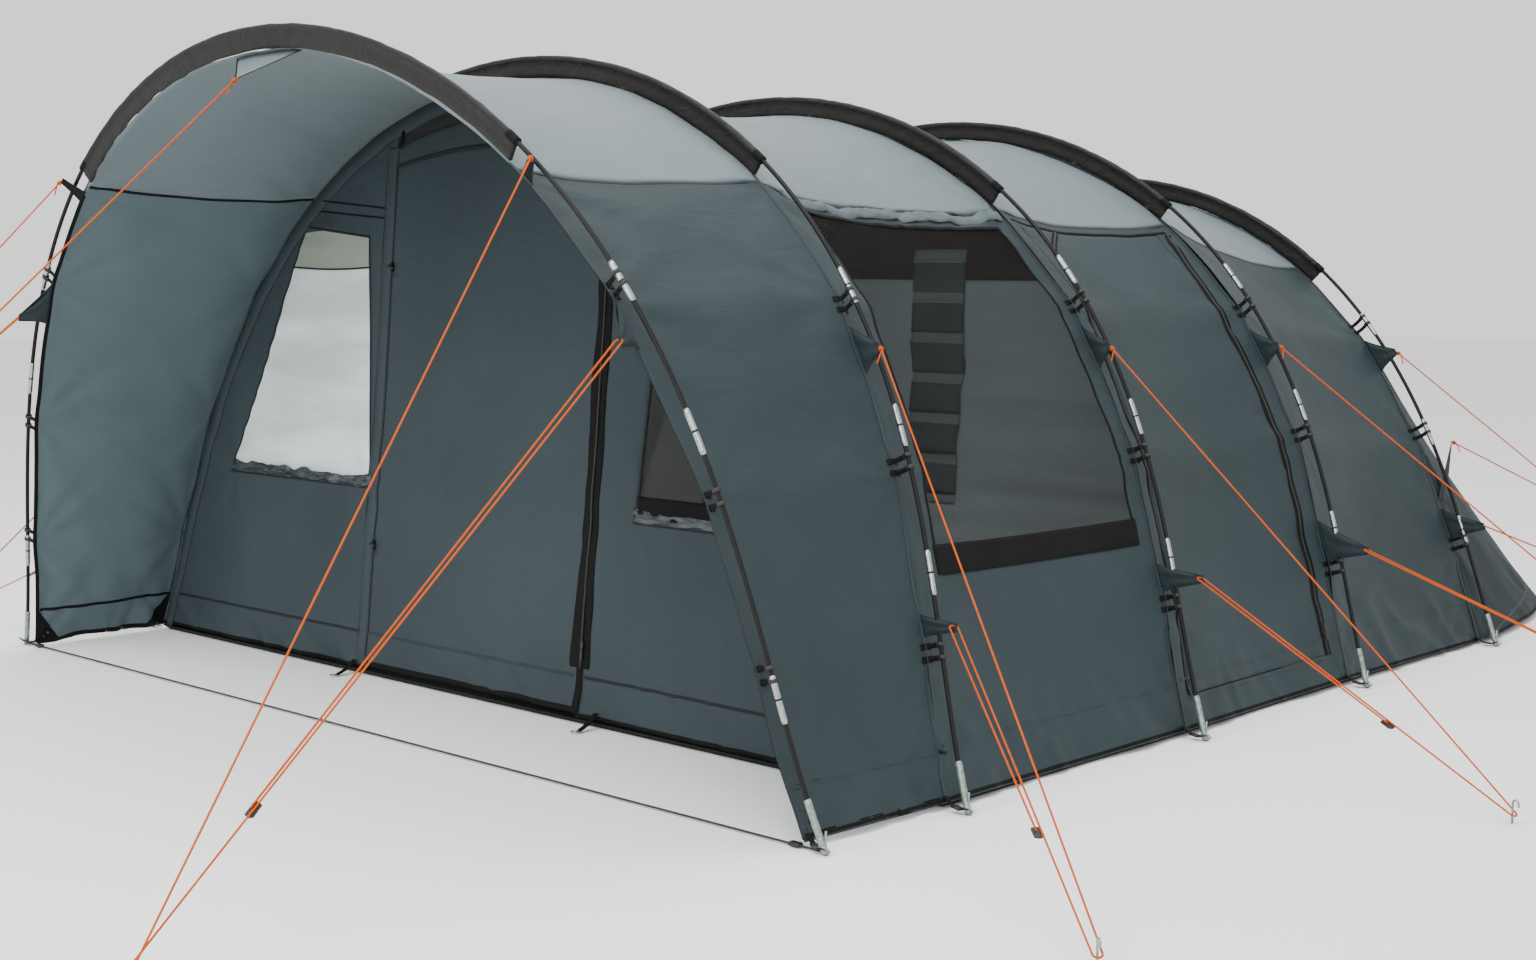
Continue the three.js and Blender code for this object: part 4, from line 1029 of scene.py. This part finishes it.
    # the rolled blind's seam over the window
    for hq in (1.572, 1.606):
        fw_ribbon(B, [(side * 0.67, hq - 0.012), (side * (float(rim_x(hq)) - 0.07), hq + 0.02)], 0.006, m=0, lift=0.0012)
    xs_ = np.linspace(bx - 0.01, cx + 0.005, 70)
    hb = bh + 0.006 + 0.006 * noise(xs_ * 16, xs_ * 0, 91) + 0.003 * noise(xs_ * 40, xs_ * 0, 92)
    hq = np.linspace(-0.020, 0.016, 7)
    XX, HH = np.repeat(xs_[:, None], 7, 1), hb[:, None] + hq[None] * (1 + 0.4 * noise(xs_ * 23, xs_ * 0, 93))[:, None]
    PP = fw(side * XX, HH, 0.0035 + 0.0045 * noise(XX * 34 + HH * 12, HH * 60, 94) * (np.abs(hq) < 0.019)[None])
    B.add(*shell(PP, np.broadcast_to(FWN, PP.shape), 0.0008), 3)
    fw_ribbon(B, [(side * (bx - 0.012), bh - 0.018), (side * (cx + 0.008), bh - 0.018)], 0.006, m=2, lift=0.0014)
    if side > 0:                                     # dark band along its foot
        rows_b = [[bh - 0.002, bh + 0.062]]
        hh = np.linspace(bh - 0.002, bh + 0.064, 6)
        Xb = np.array([np.linspace(bx - 0.004 + (ax - bx) * (h - bh) / (ah - bh), cx + 0.004 + (dx - cx) * (h - bh) / (ah - bh), 60) for h in hh])
        Pb = fw(Xb, np.repeat(hh[:, None], 60, 1), 0.002)
        B.add(*shell(Pb, np.broadcast_to(FWN, Pb.shape), 0.0012), 0)
    o = B.obj(f"front_window_rim_{sn}", [m_tape, m_front, m_line, m_film_edge])


def door_top(x):
    m_, r_ = (fd_x0 + fd_x1) / 2, (fd_x1 - fd_x0) / 2
    return 1.735 + 0.055 * (1 - ((x - m_) / r_) ** 2)


xs = lin(fd_x0, fd_x1, 0.014)
T = lin(0, 1, 0.0085)
H = 0.034 + (door_top(xs)[:, None] - 0.034) * T[None]
B = Build()
fw_shell(B, np.repeat(xs[:, None], len(T), 1), H)
o = B.obj("front_door", m_front, body="front_door_leaf"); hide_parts("front_door"); flies.append(o)
# the vent: dark mesh under the second arch, with the wall's cloth round it
def vent_low(x):
    return 1.876 - 0.27 * (x + 0.06) ** 2


T = np.linspace(0, 1, 10)
H = (door_top(xs) + 0.002)[:, None] * (1 - T)[None] + vent_low(xs)[:, None] * T[None]
P = fw(np.repeat(xs[:, None], len(T), 1), H, 0.0004)
Build().add(*shell(P, np.broadcast_to(FWN, P.shape), 0.0011)).obj("front_door_header", m_front)
T = np.linspace(0, 1, 14)
H = (vent_low(xs) - 0.01)[:, None] * (1 - T)[None] + rim_h(xs)[:, None] * T[None]
P = fw(np.repeat(xs[:, None], len(T), 1), H, -0.001)
o = Build().add(*shell(P, np.broadcast_to(FWN, P.shape), 0.0010), 0).obj("front_vent", m_vent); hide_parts("front_vent")

trim = Build()
# zip down the door's right side, wider at its foot; hinge seam on the left; top edge
zx = [(0.4815, 0.17), (0.4815, 1.30), (0.4815, 1.735)]
hz = lin(0.172, 1.80, 0.012)
wz = 0.068 + 0.026 * np.clip((0.55 - hz) / 0.4, 0, 1) + 0.004 * noise(hz * 14, hz * 0, 121)
cz = 0.4835 - 0.006 * np.clip((0.5 - hz) / 0.4, 0, 1) + 0.004 * noise(hz * 5, hz * 0 + 2, 122)
Uz = np.linspace(-0.5, 0.5, 7)
Pz = fw(cz[:, None] + wz[:, None] * Uz[None], np.repeat(hz[:, None], 7, 1), 0.0020 + 0.0022 * noise(hz[:, None] * 22 + Uz[None] * 4, Uz[None] * 5 + hz[:, None] * 3, 123))
trim.add(*shell(Pz, np.broadcast_to(FWN, Pz.shape), 0.0016), 0)
fw_ribbon(trim, [(0.486, 0.17), (0.486, 1.73)], 0.007, 0.0030, m=1, lift=0.0040)
fw_ribbon(trim, [(0.480, 0.030), (0.4805, 0.19)], 0.030, 0.0016, lift=0.0008)
fw_ribbon(trim, [(-0.646, 0.03), (-0.646, 1.80)], 0.054, 0.0014, m=4, lift=0.0010)
fw_ribbon(trim, [(-0.6205, 0.03), (-0.6205, 1.735)], 0.009, 0.0016, m=3, lift=0.0018)
fw_ribbon(trim, [(-0.673, 0.03), (-0.673, 1.76)], 0.004, 0.0012, m=3, lift=0.0018)
fw_ribbon(trim, [(x, float(door_top(np.array(x))) + 0.0015) for x in np.linspace(fd_x0, fd_x1, 30)], 0.010, 0.0014, m=2, lift=0.0012)
fw_ribbon(trim, [(x, float(vent_low(x))) for x in np.linspace(fd_x0, fd_x1, 30)], 0.012, 0.0030, m=3, lift=0.0012)
for x_ in np.linspace(fd_x0 + 0.02, fd_x1 - 0.02, 3):
    fw_ribbon(trim, [(x_, float(vent_low(x_)) - 0.004), (x_ + 0.004, float(vent_low(x_)) + 0.055)], 0.016, 0.003, m=0, lift=0.002)
# seam over the mud flap, hem, and the border inside the arch
fw_ribbon(trim, [(-1.93, 0.145), (-0.63, 0.145)], 0.010, m=2)
fw_ribbon(trim, [(0.50, 0.145), (1.93, 0.145)], 0.010, m=2)
fw_ribbon(trim, [(-1.945, 0.028), (-0.625, 0.028)], 0.013)
fw_ribbon(trim, [(0.485, 0.028), (1.945, 0.028)], 0.013)
for side in (-1, 1):
    x_, h_ = arch_plane(1, lin(0.0, 0.985, 0.006), 0.085)
    fw_ribbon(trim, list(zip(side * x_, h_)), 0.058, 0.0014, m=4, lift=0.0010)
    x_, h_ = arch_plane(1, lin(0.0, 0.985, 0.006), 0.116)
    fw_ribbon(trim, list(zip(side * x_, h_)), 0.005, 0.0014, m=3, lift=0.0012)
# door ties
for x, h in ((-0.612, 1.393), (-0.612, 0.446)):
    P0 = fw(x, h, 0.004)
    trim.add(*strip(np.stack([P0 + [0, 0, 0.016], P0, P0 - [0, 0, 0.016]]), np.tile(FWN, (3, 1)), flat_prof(0.012, 0.005)), 0)
    trim.add(*tube(np.stack([P0 + FWN * 0.006 + [-0.012, 0, 0.004], P0 + FWN * 0.008 + [0.014, 0, -0.004]]), 0.0048, 10), 1)
    t = np.linspace(0, 1, 9)[:, None]
    trim.add(*tube(P0 + FWN * 0.006 + t * np.array([0.022, 0, -0.030]) + np.array([0, 0, -0.012]) * np.sin(t * math.pi), 0.0016, 6), 1)
o = trim.obj("front_wall_tapes", [m_tape, m_zip, m_line, m_dark, m_front_edge])

dt = Build()
fw_ribbon(dt, [(fd_x0 + 0.006, 0.145), (fd_x1 - 0.03, 0.145)], 0.010, m=0)
fw_ribbon(dt, [(fd_x0 + 0.006, 0.042), (fd_x1 - 0.006, 0.042)], 0.018, m=1)
o = dt.obj("front_door_tapes", [m_seam, m_tape], body="front_door_leaf")

# ================================================================ groundsheet, with a low lip round it
side_pts = []
for i_, dy in ((1, 0.014), (2, 0), (3, 0), (4, 0)):
    side_pts.append([float(arch_plane(i_, 0.985, 0.088)[0]), ARCH_Y[i_] + YS + dy])
for s in (0.9, 0.8, 0.7, 0.6, 0.5, 0.4, 0.2):
    p = hem_at(np.array(s))
    side_pts.append([p[0] - 0.028, p[1] - 0.028])
rp = np.array(side_pts + [[-x, y] for x, y in side_pts[::-1]])
ring_c = rp.mean(0)
loop = []
for a_, b_ in zip(rp, np.roll(rp, -1, 0)):
    n_ = max(2, int(np.linalg.norm(b_ - a_) / 0.05))
    loop += [a_ + (b_ - a_) * k / n_ for k in range(n_)]
loop = np.array(loop)
nl = len(loop)
fr = [0.0, 0.25, 0.5, 0.7, 0.85, 0.94, 0.985, 1.0, 1.006]
V = []
for f in fr:
    q = ring_c + (loop - ring_c) * f
    z = 0.0022 + 0.0016 * (noise(q[:, 0] * 4, q[:, 1] * 4, 95) + 1) * (0.15 < f < 0.99) + (0.0 if f < 1.003 else 0.016)
    V.append(np.concatenate([q, z[:, None] if np.ndim(z) else np.full((nl, 1), z)], 1))
V = np.array(V)
VT = V.reshape(-1, 3)
VB = VT - [0, 0, 0.0018]
Fq = []
O = len(VT)
for i_ in range(len(fr) - 1):
    for j in range(nl):
        a_, b_ = i_ * nl + j, i_ * nl + (j + 1) % nl
        c_, d_ = b_ + nl, a_ + nl
        Fq.append((a_, b_, c_, d_) if i_ else (a_, c_, d_))
        Fq.append((O + d_, O + c_, O + b_, O + a_) if i_ else (O + d_, O + c_, O + a_))
for j in range(nl):
    a_, b_ = (len(fr) - 1) * nl + j, (len(fr) - 1) * nl + (j + 1) % nl
    Fq.append((a_, b_, O + b_, O + a_))
ground = Build().add(np.concatenate([VT, VB]), Fq).obj("groundsheet", m_ground)
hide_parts("groundsheet")

# ================================================================ the inner tent
IW = 0.060


def inner_front_disp(x, h):
    return 0.014 * fbm(x * 0.9, h * 3.2, 101) + 0.013 * noise(x * 1.3 + h * 0.6, h * 10, 103) + 0.007 * noise(x * 2.6 - h * 1.5, h * 21, 104)


IX, IH = arch_plane(3, _sr, 0.132)
Bi = Build()
hs = breaks([0.018, 1.34, float(IH[0]) - 0.002], 0.02)
U = np.linspace(-1, 1, 111)
X = np.interp(hs, IH[::-1], IX[::-1])[:, None] * U[None]
H = np.repeat(hs[:, None], len(U), 1)
INN = lean(3, 0, 0, -1.0) - lean(3, 0, 0, 0)


def inf(x, h, lift=0.0):
    x, h = np.broadcast_arrays(np.asarray(x, float), np.asarray(h, float))
    return lean(3, x, h, IW - inner_front_disp(x, h) - lift)


P = inf(X, H)
k = np.repeat(((hs[1:] + hs[:-1]) / 2 < 1.34)[:, None], len(U) - 1, 1)
Bi.add(*shell(P, np.broadcast_to(INN, P.shape), 0.0012, k), 0)
Bi.add(*shell(P, np.broadcast_to(INN, P.shape), 0.0012, ~k), 1)
o = Bi.obj("inner_front", [m_inner, m_inner_dark]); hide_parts("inner_front"); flies.append(o)
inner_front = o


def in_ribbon(B, pts, w, t=0.0014, m=0, lift=0.0):
    pts = np.array(pts, float)
    l = np.concatenate([[0], np.cumsum(np.linalg.norm(pts[1:] - pts[:-1], axis=1))])
    q = np.linspace(0, l[-1], max(3, int(l[-1] / 0.02)))
    P = inf(np.interp(q, l, pts[:, 0]), np.interp(q, l, pts[:, 1]), lift)
    B.add(*strip(P, np.tile(INN, (len(q), 1)), flat_prof(w, t)), m)


Bt = Build()
for sg in (-1, 1):                                       # each bedroom's D-shaped door
    x0_, x1_ = sg * 0.22, sg * 1.28
    arc_ = [(x1_ + (x0_ - x1_) * t, 0.10 + 1.36 * math.sin(math.pi * min(t * 1.25 + 0.0, 1) / 2) ** 0.6) for t in np.linspace(0, 1, 24)]
    in_ribbon(Bt, [(x0_, 0.10), (x1_, 0.10)], 0.022, lift=0.001)
    in_ribbon(Bt, [(x1_, 0.10), (x1_, 1.00), (x1_ - sg * 0.12, 1.25), (x1_ - sg * 0.35, 1.34)], 0.022, lift=0.001)
o = Bt.obj("inner_zips", m_tape)
# the organiser that hangs between the bedroom doors
Bp = Build()
xo0, xo1 = -0.145, 0.115
hh = np.linspace(0.46, 1.46, 50)
Xo = np.linspace(xo0, xo1, 14)
P = inf(np.repeat(Xo[None], 50, 0), np.repeat(hh[:, None], 14, 1), 0.006)
Bp.add(*shell(P, np.broadcast_to(INN, P.shape), 0.0015), 0)
for k_ in range(6):
    h0 = 0.50 + k_ * 0.158
    hh = np.linspace(h0, h0 + 0.122, 9)
    bul = 0.004 + 0.022 * np.sin(np.linspace(0, math.pi, 14))[None] * (1 - ((hh - h0) / 0.122)[:, None] ** 3 * 0.55) * (0.3 + 0.7 * np.sin(np.clip((hh - h0) / 0.03, 0, 1) * math.pi / 2))[:, None]
    P = inf(np.repeat(Xo[None], 9, 0), np.repeat(hh[:, None], 14, 1), 0.0)
    P = P + INN * (0.008 + bul)[..., None]
    Bp.add(*shell(P, np.broadcast_to(INN, P.shape), 0.0012), 1)
    Bp.add(*strip(P[-1] + INN * 0.001, np.tile(INN, (14, 1)), flat_prof(0.012, 0.002)), 0)
o = Bp.obj("organiser", [m_pocket, m_pocket_mesh])

# its roof and sides, and its rear
ss = lin(-0.972, 0.972, 0.014)
vs = lin(0.09, 0.97, 0.035)
Sg, Vg = ss[:, None] * np.ones(len(vs)), vs[None] * np.ones((len(ss), 1))
o_ = 0.132 + 0.020 * 4 * Vg * (1 - Vg) + 0.007 * fbm(Sg * 5, Vg * 3, 105)
A_, B2 = arch_at(3, Sg, o_), arch_at(4, Sg, o_)
P = A_ * (1 - Vg[..., None]) + B2 * Vg[..., None]
N = np.cross(np.gradient(P, axis=0), np.gradient(P, axis=1))
N /= np.linalg.norm(N, axis=-1, keepdims=True)
if (N[len(ss) // 2, 3] @ [0, 0, 1.0]) < 0:
    N = -N
o = Build().add(*shell(P, N, 0.0012)).obj("inner_body", m_inner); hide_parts("inner_body"); flies.append(o)
ss, ws = lin(-0.93, 0.93, 0.014), lin(0.05, 0.955, 0.03)
P, N = rear(ss[:, None] * np.ones(len(ws)), ws[None] * np.ones((len(ss), 1)), off=0.140, back=0.11 * ws[None] * np.ones((len(ss), 1)) if False else 0.11, amp=0.6)
P0, N = rear(ss[:, None] * np.ones(len(ws)), ws[None] * np.ones((len(ss), 1)), off=0.140, back=0.0, amp=0.6)
wg = ws[None, :, None]
P = P0 * (1 - wg) + P * wg
o = Build().add(*shell(P, N, 0.0012)).obj("inner_rear", m_inner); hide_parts("inner_rear"); flies.append(o)

# ================================================================ zip sliders
for cad, body in (("front_zip_slider", "front_zip"), ("side_zip_slider", "side_zip")):
    src = frame["nodes"][cad] if isinstance(frame, dict) and "nodes" in frame else bpy.data.objects[cad]
    src.data.materials.clear(); src.data.materials.append(m_plastic)
    bv = src.modifiers.new("round", "BEVEL"); bv.width = 0.0009; bv.segments = 2

# the cord between the front feet, drawn tight along the ground
xx = np.linspace(-1.984, 1.984, 160)
pp = np.stack([xx, np.full_like(xx, ARCH_Y[0] + YS), np.full_like(xx, 0.006)], 1)
o = Build().add(*tube(pp, 0.003, 12)).obj("ground_strap", m_cord)
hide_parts("ground_strap")
B = Build()
for sx in (-1, 1):                                   # its tension buckles
    p = np.array([sx * 1.90, ARCH_Y[0] + YS, 0.0075])
    B.add(*strip(np.stack([p - [0.016, 0, 0], p - [0.012, 0, 0], p + [0.012, 0, 0], p + [0.016, 0, 0]]), np.tile(np.array([0, 0.0, 1.0]), (4, 1)), [(-0.010, -0.004), (0.010, -0.004), (0.011, 0.0), (0.009, 0.005), (-0.009, 0.005), (-0.011, 0.0)]), 0)
buckles = B.obj("ground_strap_buckles", m_plastic)

# ================================================================ guy ropes
G = {
    "guy_front": ((0, -0.301, 1.924), None, (0, -2.450, 0)),
    "guy_right_1": ((1.200, -0.216, 1.669), (1.530, -0.218, 1.213), (1.681, -1.658, 0)),
    "guy_right_2": ((1.606, 0.640, 1.180), (1.940, 0.566, 0.470), (2.930, -0.210, 0)),
    "guy_right_3": ((1.560, 1.768, 1.146), (1.950, 1.705, 0.473), (3.049, 1.411, 0)),
    "guy_right_4": ((1.545, 2.786, 1.119), (1.930, 2.736, 0.453), (3.095, 2.815, 0)),
    "guy_right_5": ((1.425, 3.851, 1.062), (1.835, 3.785, 0.431), (2.416, 4.646, 0)),
    "guy_left_1": ((-1.200, -0.216, 1.669), (-1.530, -0.218, 1.213), (-1.690, -1.640, 0)),
    "guy_left_2": ((-1.606, 0.640, 1.180), (-1.940, 0.566, 0.470), (-2.560, -0.110, 0)),
    "guy_rear": ((1.585, 4.010, 0.716), None, (2.400, 5.200, 0)),
}
TR = 0.011


def unit(v):
    return v / np.linalg.norm(v)


def rope_path(g):
    top, low, peg = (None if p is None else np.array(p, float) + [0, YS, 0] for p in g)
    eye = peg + [0, 0, 0.026]
    pts = [top]
    if low is not None:
        u1, d = unit(top - eye), unit(low - eye)
        up = unit(u1 + d)
        s0 = unit(np.cross(up, [0, 0, 1.0]))
        pts += [eye + s0 * TR * math.cos(a) - up * TR * math.sin(a) for a in np.linspace(0, math.pi, 9)]
        c2 = low - s0 * TR
        pts += [c2 + s0 * TR * math.cos(a) + d * TR * math.sin(a) for a in np.linspace(0, math.pi, 8)]
        end = eye + d * 0.43 - s0 * (TR + 0.008)
    else:
        d = up = unit(top - eye)
        s0 = unit(np.cross(up, [0, 0, 1.0]))
        pts += [eye + s0 * TR * math.cos(a) - up * TR * math.sin(a) for a in np.linspace(0, math.pi, 9)]
        end = eye + up * 0.43 - s0 * TR
    pts.append(end)
    return np.array(pts), top, low, peg, eye, d, s0, end


def tab(B, i, sa, sb, tip, inset=0.055, m=0, bulge=0.010):
    """a folded triangle of cloth from the fly beside an arch out to the guy's ring"""
    n1, n2 = 14, 12
    S = np.linspace(sa, sb, n1)
    base = arch_at(i, S, edge_off(S) + (inset - 0.055))
    t = np.linspace(0, 1, n2)
    tipv = np.array(tip)
    al = unit(base[-1] - base[0])
    nrm = unit(np.cross(al, tipv - base.mean(0)))
    tw = 0.010
    apex = tipv[None] + al[None] * np.linspace(-tw, tw, n1)[:, None]
    tt = t[None, :, None]
    P = base[:, None] * (1 - tt) + apex[:, None] * tt
    pinch = np.sin(np.linspace(0, math.pi, n1))[:, None] * np.sin(t * math.pi)[None]
    fold = np.sin(np.linspace(0, 3 * math.pi, n1))[:, None] * (np.sin(t * math.pi))[None] * 0.4
    P = P + nrm * (bulge * (pinch + fold))[..., None]
    # the edges curve in toward the middle, as cloth under pull does
    mid = P.mean(0, keepdims=True)
    P = P + (mid - P) * (0.10 * np.sin(t * math.pi))[None, :, None]
    N = np.broadcast_to(nrm, P.shape)
    B.add(*shell(P, N, 0.0016), m)
    for e in (0, -1):
        B.add(*strip(P[e], N[e], flat_prof(0.004, 0.0010)), 0)
    return nrm


tabs = Build()
for i, name in ((0, "guy_right_1"), (1, "guy_right_2"), (2, "guy_right_3"), (3, "guy_right_4"), (4, "guy_right_5")):
    for sg in (1, -1):
        top = np.array(G[name][0]) * [sg, 1, 1] + [0, YS, 0]
        low = np.array(G[name][1]) * [sg, 1, 1] + [0, YS, 0]
        for tip, name2 in ((top, "top"), (low, "low")):
            ss = lin(0.2, 0.98, 0.004)
            d = np.linalg.norm(arch_at(i, sg * ss) - tip, axis=1)
            s = float(ss[d.argmin()])
            if i == 0 and name2 == "top":
                # the first rope leaves the end of the pole sleeve on a small loop
                nrm = tab(tabs, i, sg * (s - 0.012), sg * (s + 0.004), tip, bulge=0.003, m=1)
            else:
                up_, dn_ = ((0.050, 0.004), (0.016, 0.003), (0.026, 0.003), (0.046, 0.004), (0.040, 0.004))[i] if name2 == "low" else (0.040, 0.012)
                nrm = tab(tabs, i, sg * (s - up_), sg * (s + dn_), tip)
                nrm = tab(tabs, i, sg * (s - up_ * 0.8), sg * (s + dn_ * 0.4), tip + nrm * 0.004, bulge=-0.008)
# the canopy's front tab, and the rear one
top = np.array(G["guy_front"][0]) + [0, YS, 0]
S = np.linspace(-0.055, 0.055, 14)
P, N = surf(0, S, np.full(14, 0.03))
t = np.linspace(0, 1, 10)[None, :, None]
apex = top[None] + np.array([1.0, 0, 0]) * np.linspace(-0.006, 0.006, 14)[:, None]
Pt = P[:, None] * (1 - t) + apex[:, None] * t
tabs.add(*shell(Pt, np.broadcast_to(unit(np.array([0, -0.6, 0.8])), Pt.shape), 0.0014), 2)
for e in (0, -1):
    tabs.add(*strip(Pt[e], np.tile(np.array([0, -0.6, 0.8]), (10, 1)), flat_prof(0.005, 0.001)), 1)
rt = np.array(G["guy_rear"][0]) + [0, YS, 0]
for sg in (1, -1):
    tip = rt * [sg, 1, 1]
    w_ = np.linspace(0.0, 0.16, 14)
    P, N = rear(np.full(14, sg * 0.79) - sg * w_ * 0.2, w_ + 0.01)
    t = np.linspace(0, 1, 10)[None, :, None]
    apex = tip[None] + np.array([0, 0, 1.0]) * np.linspace(0.006, -0.006, 14)[:, None]
    Pt = P[:, None] * (1 - t) + apex[:, None] * t
    tabs.add(*shell(Pt, np.broadcast_to(unit(np.cross(P[-1] - P[0], tip - P[0])), Pt.shape), 0.0014), 0)
o = tabs.obj("guy_tabs", [m_tab, m_tape, m_roof])

peg_done = []
for name, g in G.items():
    pts, top, low, peg, eye, d, s0, end = rope_path(g)
    cu = bpy.data.curves.new(name, "CURVE")
    cu.dimensions = "3D"; cu.bevel_depth = 0.0025; cu.bevel_resolution = 3; cu.resolution_u = 1
    sp = cu.splines.new("POLY"); sp.points.add(len(pts) - 1)
    for q, p in zip(sp.points, pts):
        q.co = (*p, 1)
    cu.materials.append(m_rope)
    cu.use_fill_caps = True
    o = bpy.data.objects.new(name + "_v", cu); scene.collection.objects.link(o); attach(o, "tent")
    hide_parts(name)
    L = float(np.linalg.norm(pts[1:] - pts[:-1], axis=1).sum())
    # the peg
    back = (low if low is not None else top) - peg
    back[2] = 0
    lead = unit(back)
    hook = np.array([peg - lead * o_ + [0, 0, z] for o_, z in [(0, 0.0005), (0, 0.026), (0, 0.052), (0.0012, 0.0562), (0.0045, 0.0595), (0.009, 0.0607), (0.0135, 0.0595), (0.0168, 0.0562), (0.018, 0.052), (0.018, 0.044)]])
    pg = Build().add(*tube(hook, 0.003, 12, ref=tuple(np.cross(lead, [0, 0, 1.0])))).obj("peg_" + name[4:], m_steel)
    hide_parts("peg_" + name[4:])
    # the slider: a plate with two eyes
    z = unit(np.cross(d, s0))
    if name in ("guy_right_1", "guy_right_2", "guy_right_3"):
        cad = "runner_right_" + name[-1]
        rn = bpy.data.objects[cad]
        rn.data.materials.clear(); rn.data.materials.append(m_plastic)
        bv = rn.modifiers.new("round", "BEVEL"); bv.width = 0.0012; bv.segments = 3
    else:
        c = end + s0 * 0.004 + z * 0.0031 if low is not None else end + z * 0.0031
        prof = [(-0.016, -0.012), (0.016, -0.012), (0.020, 0), (0.016, 0.012), (-0.016, 0.012), (-0.020, 0)]
        V = np.array([c + d * x + s0 * y + z * h for h in (0, 0.0008, 0.0042, 0.005) for x, y in [(x * (0.94 if h in (0, 0.005) else 1), y * (0.94 if h in (0, 0.005) else 1)) for x, y in prof]])
        F = []
        for k in range(3):
            F += [(k * 6 + j, k * 6 + (j + 1) % 6, k * 6 + 6 + (j + 1) % 6, k * 6 + 6 + j) for j in range(6)]
        F += [tuple(reversed(range(6))), tuple(18 + j for j in range(6))]
        rn = Build().add(V, F).obj("runner_" + name[4:], m_plastic, smooth=False)
    # a knot where the rope is tied, with a short tail
    kb = Build()
    ax = unit(pts[1] - pts[0])
    q = np.cross(ax, [0, 0, 1.0]); q = unit(q); r_ = np.cross(q, ax)
    th = np.linspace(0, 2 * math.pi * 2.4, 34)
    helix = top + ax * (0.006 + 0.010 * th[:, None] / th[-1]) + 0.0052 * (np.cos(th)[:, None] * q + np.sin(th)[:, None] * r_)
    kb.add(*tube(helix, 0.0024, 8))
    tl = np.linspace(0, 1, 8)[:, None]
    tail = helix[-1] + tl * (ax * 0.012 + q * 0.020) + np.array([0, 0, -0.030]) * tl**1.6
    kb.add(*tube(tail, 0.0022, 8))
    if low is not None:
        lp = low - s0 * TR
        tl = np.linspace(0, 2 * math.pi, 19)[:-1]
        ring = low - s0 * TR - d * 0.001 + 0.0095 * (np.cos(tl)[:, None] * s0 + np.sin(tl)[:, None] * z)
    kn = kb.obj("knot_" + name[4:], m_rope)
    peg_done.append((name, round(L, 3)))

# ================================================================ the cloth: each piece's area, computed and not kept
def cloth_area(o):
    me = o.data
    a = np.zeros(len(me.polygons)); me.polygons.foreach_get("area", a)
    return float(a.sum()) / 2


def declare(o, width, length):
    """width and length, the cut's own flat size, are not used; area is its cloth without openings and sloped edges"""
    a = cloth_area(o)


by = {o.name.removesuffix("_v"): o for o in flies}
for b, nm in enumerate(BAYS):
    def span(s):
        return float(np.linalg.norm(fly0(b, np.array(s), np.array(0.0)) - fly0(b, np.array(s), np.array(1.0))))
    def run(s0, s1, v=0.5):
        q = fly0(b, np.linspace(s0, s1, 80), np.full(80, v))
        return float(np.linalg.norm(q[1:] - q[:-1], axis=1).sum())
    declare(by[nm + "_roof"], max(span(0), span(SEAM)), run(-SEAM, SEAM))
    for sn in ("left", "right"):
        cut = 0.37 if (nm, sn) == ("bedroom_front", "right") else 1      # what is left beside the door
        declare(by[f"{nm}_{sn}"], max(span(SEAM), span(HEM)) * cut, run(SEAM, HEM))
declare(by["side_door"], 0.83 * 1.05, 0.553 * LEN[2])
declare(by["rear_wall"], 5.55, 1.80)
declare(by["front_wall_left"], 1.36, 1.86)
declare(by["front_wall_right"], 1.48, 1.93)
declare(by["front_door"], 1.10, 1.76)
declare(by["inner_front"], 3.72, 1.83)
declare(by["inner_body"], 0.92, 5.60)
declare(by["inner_rear"], 5.20, 1.65)
declare(ground, 3.94, 4.62)
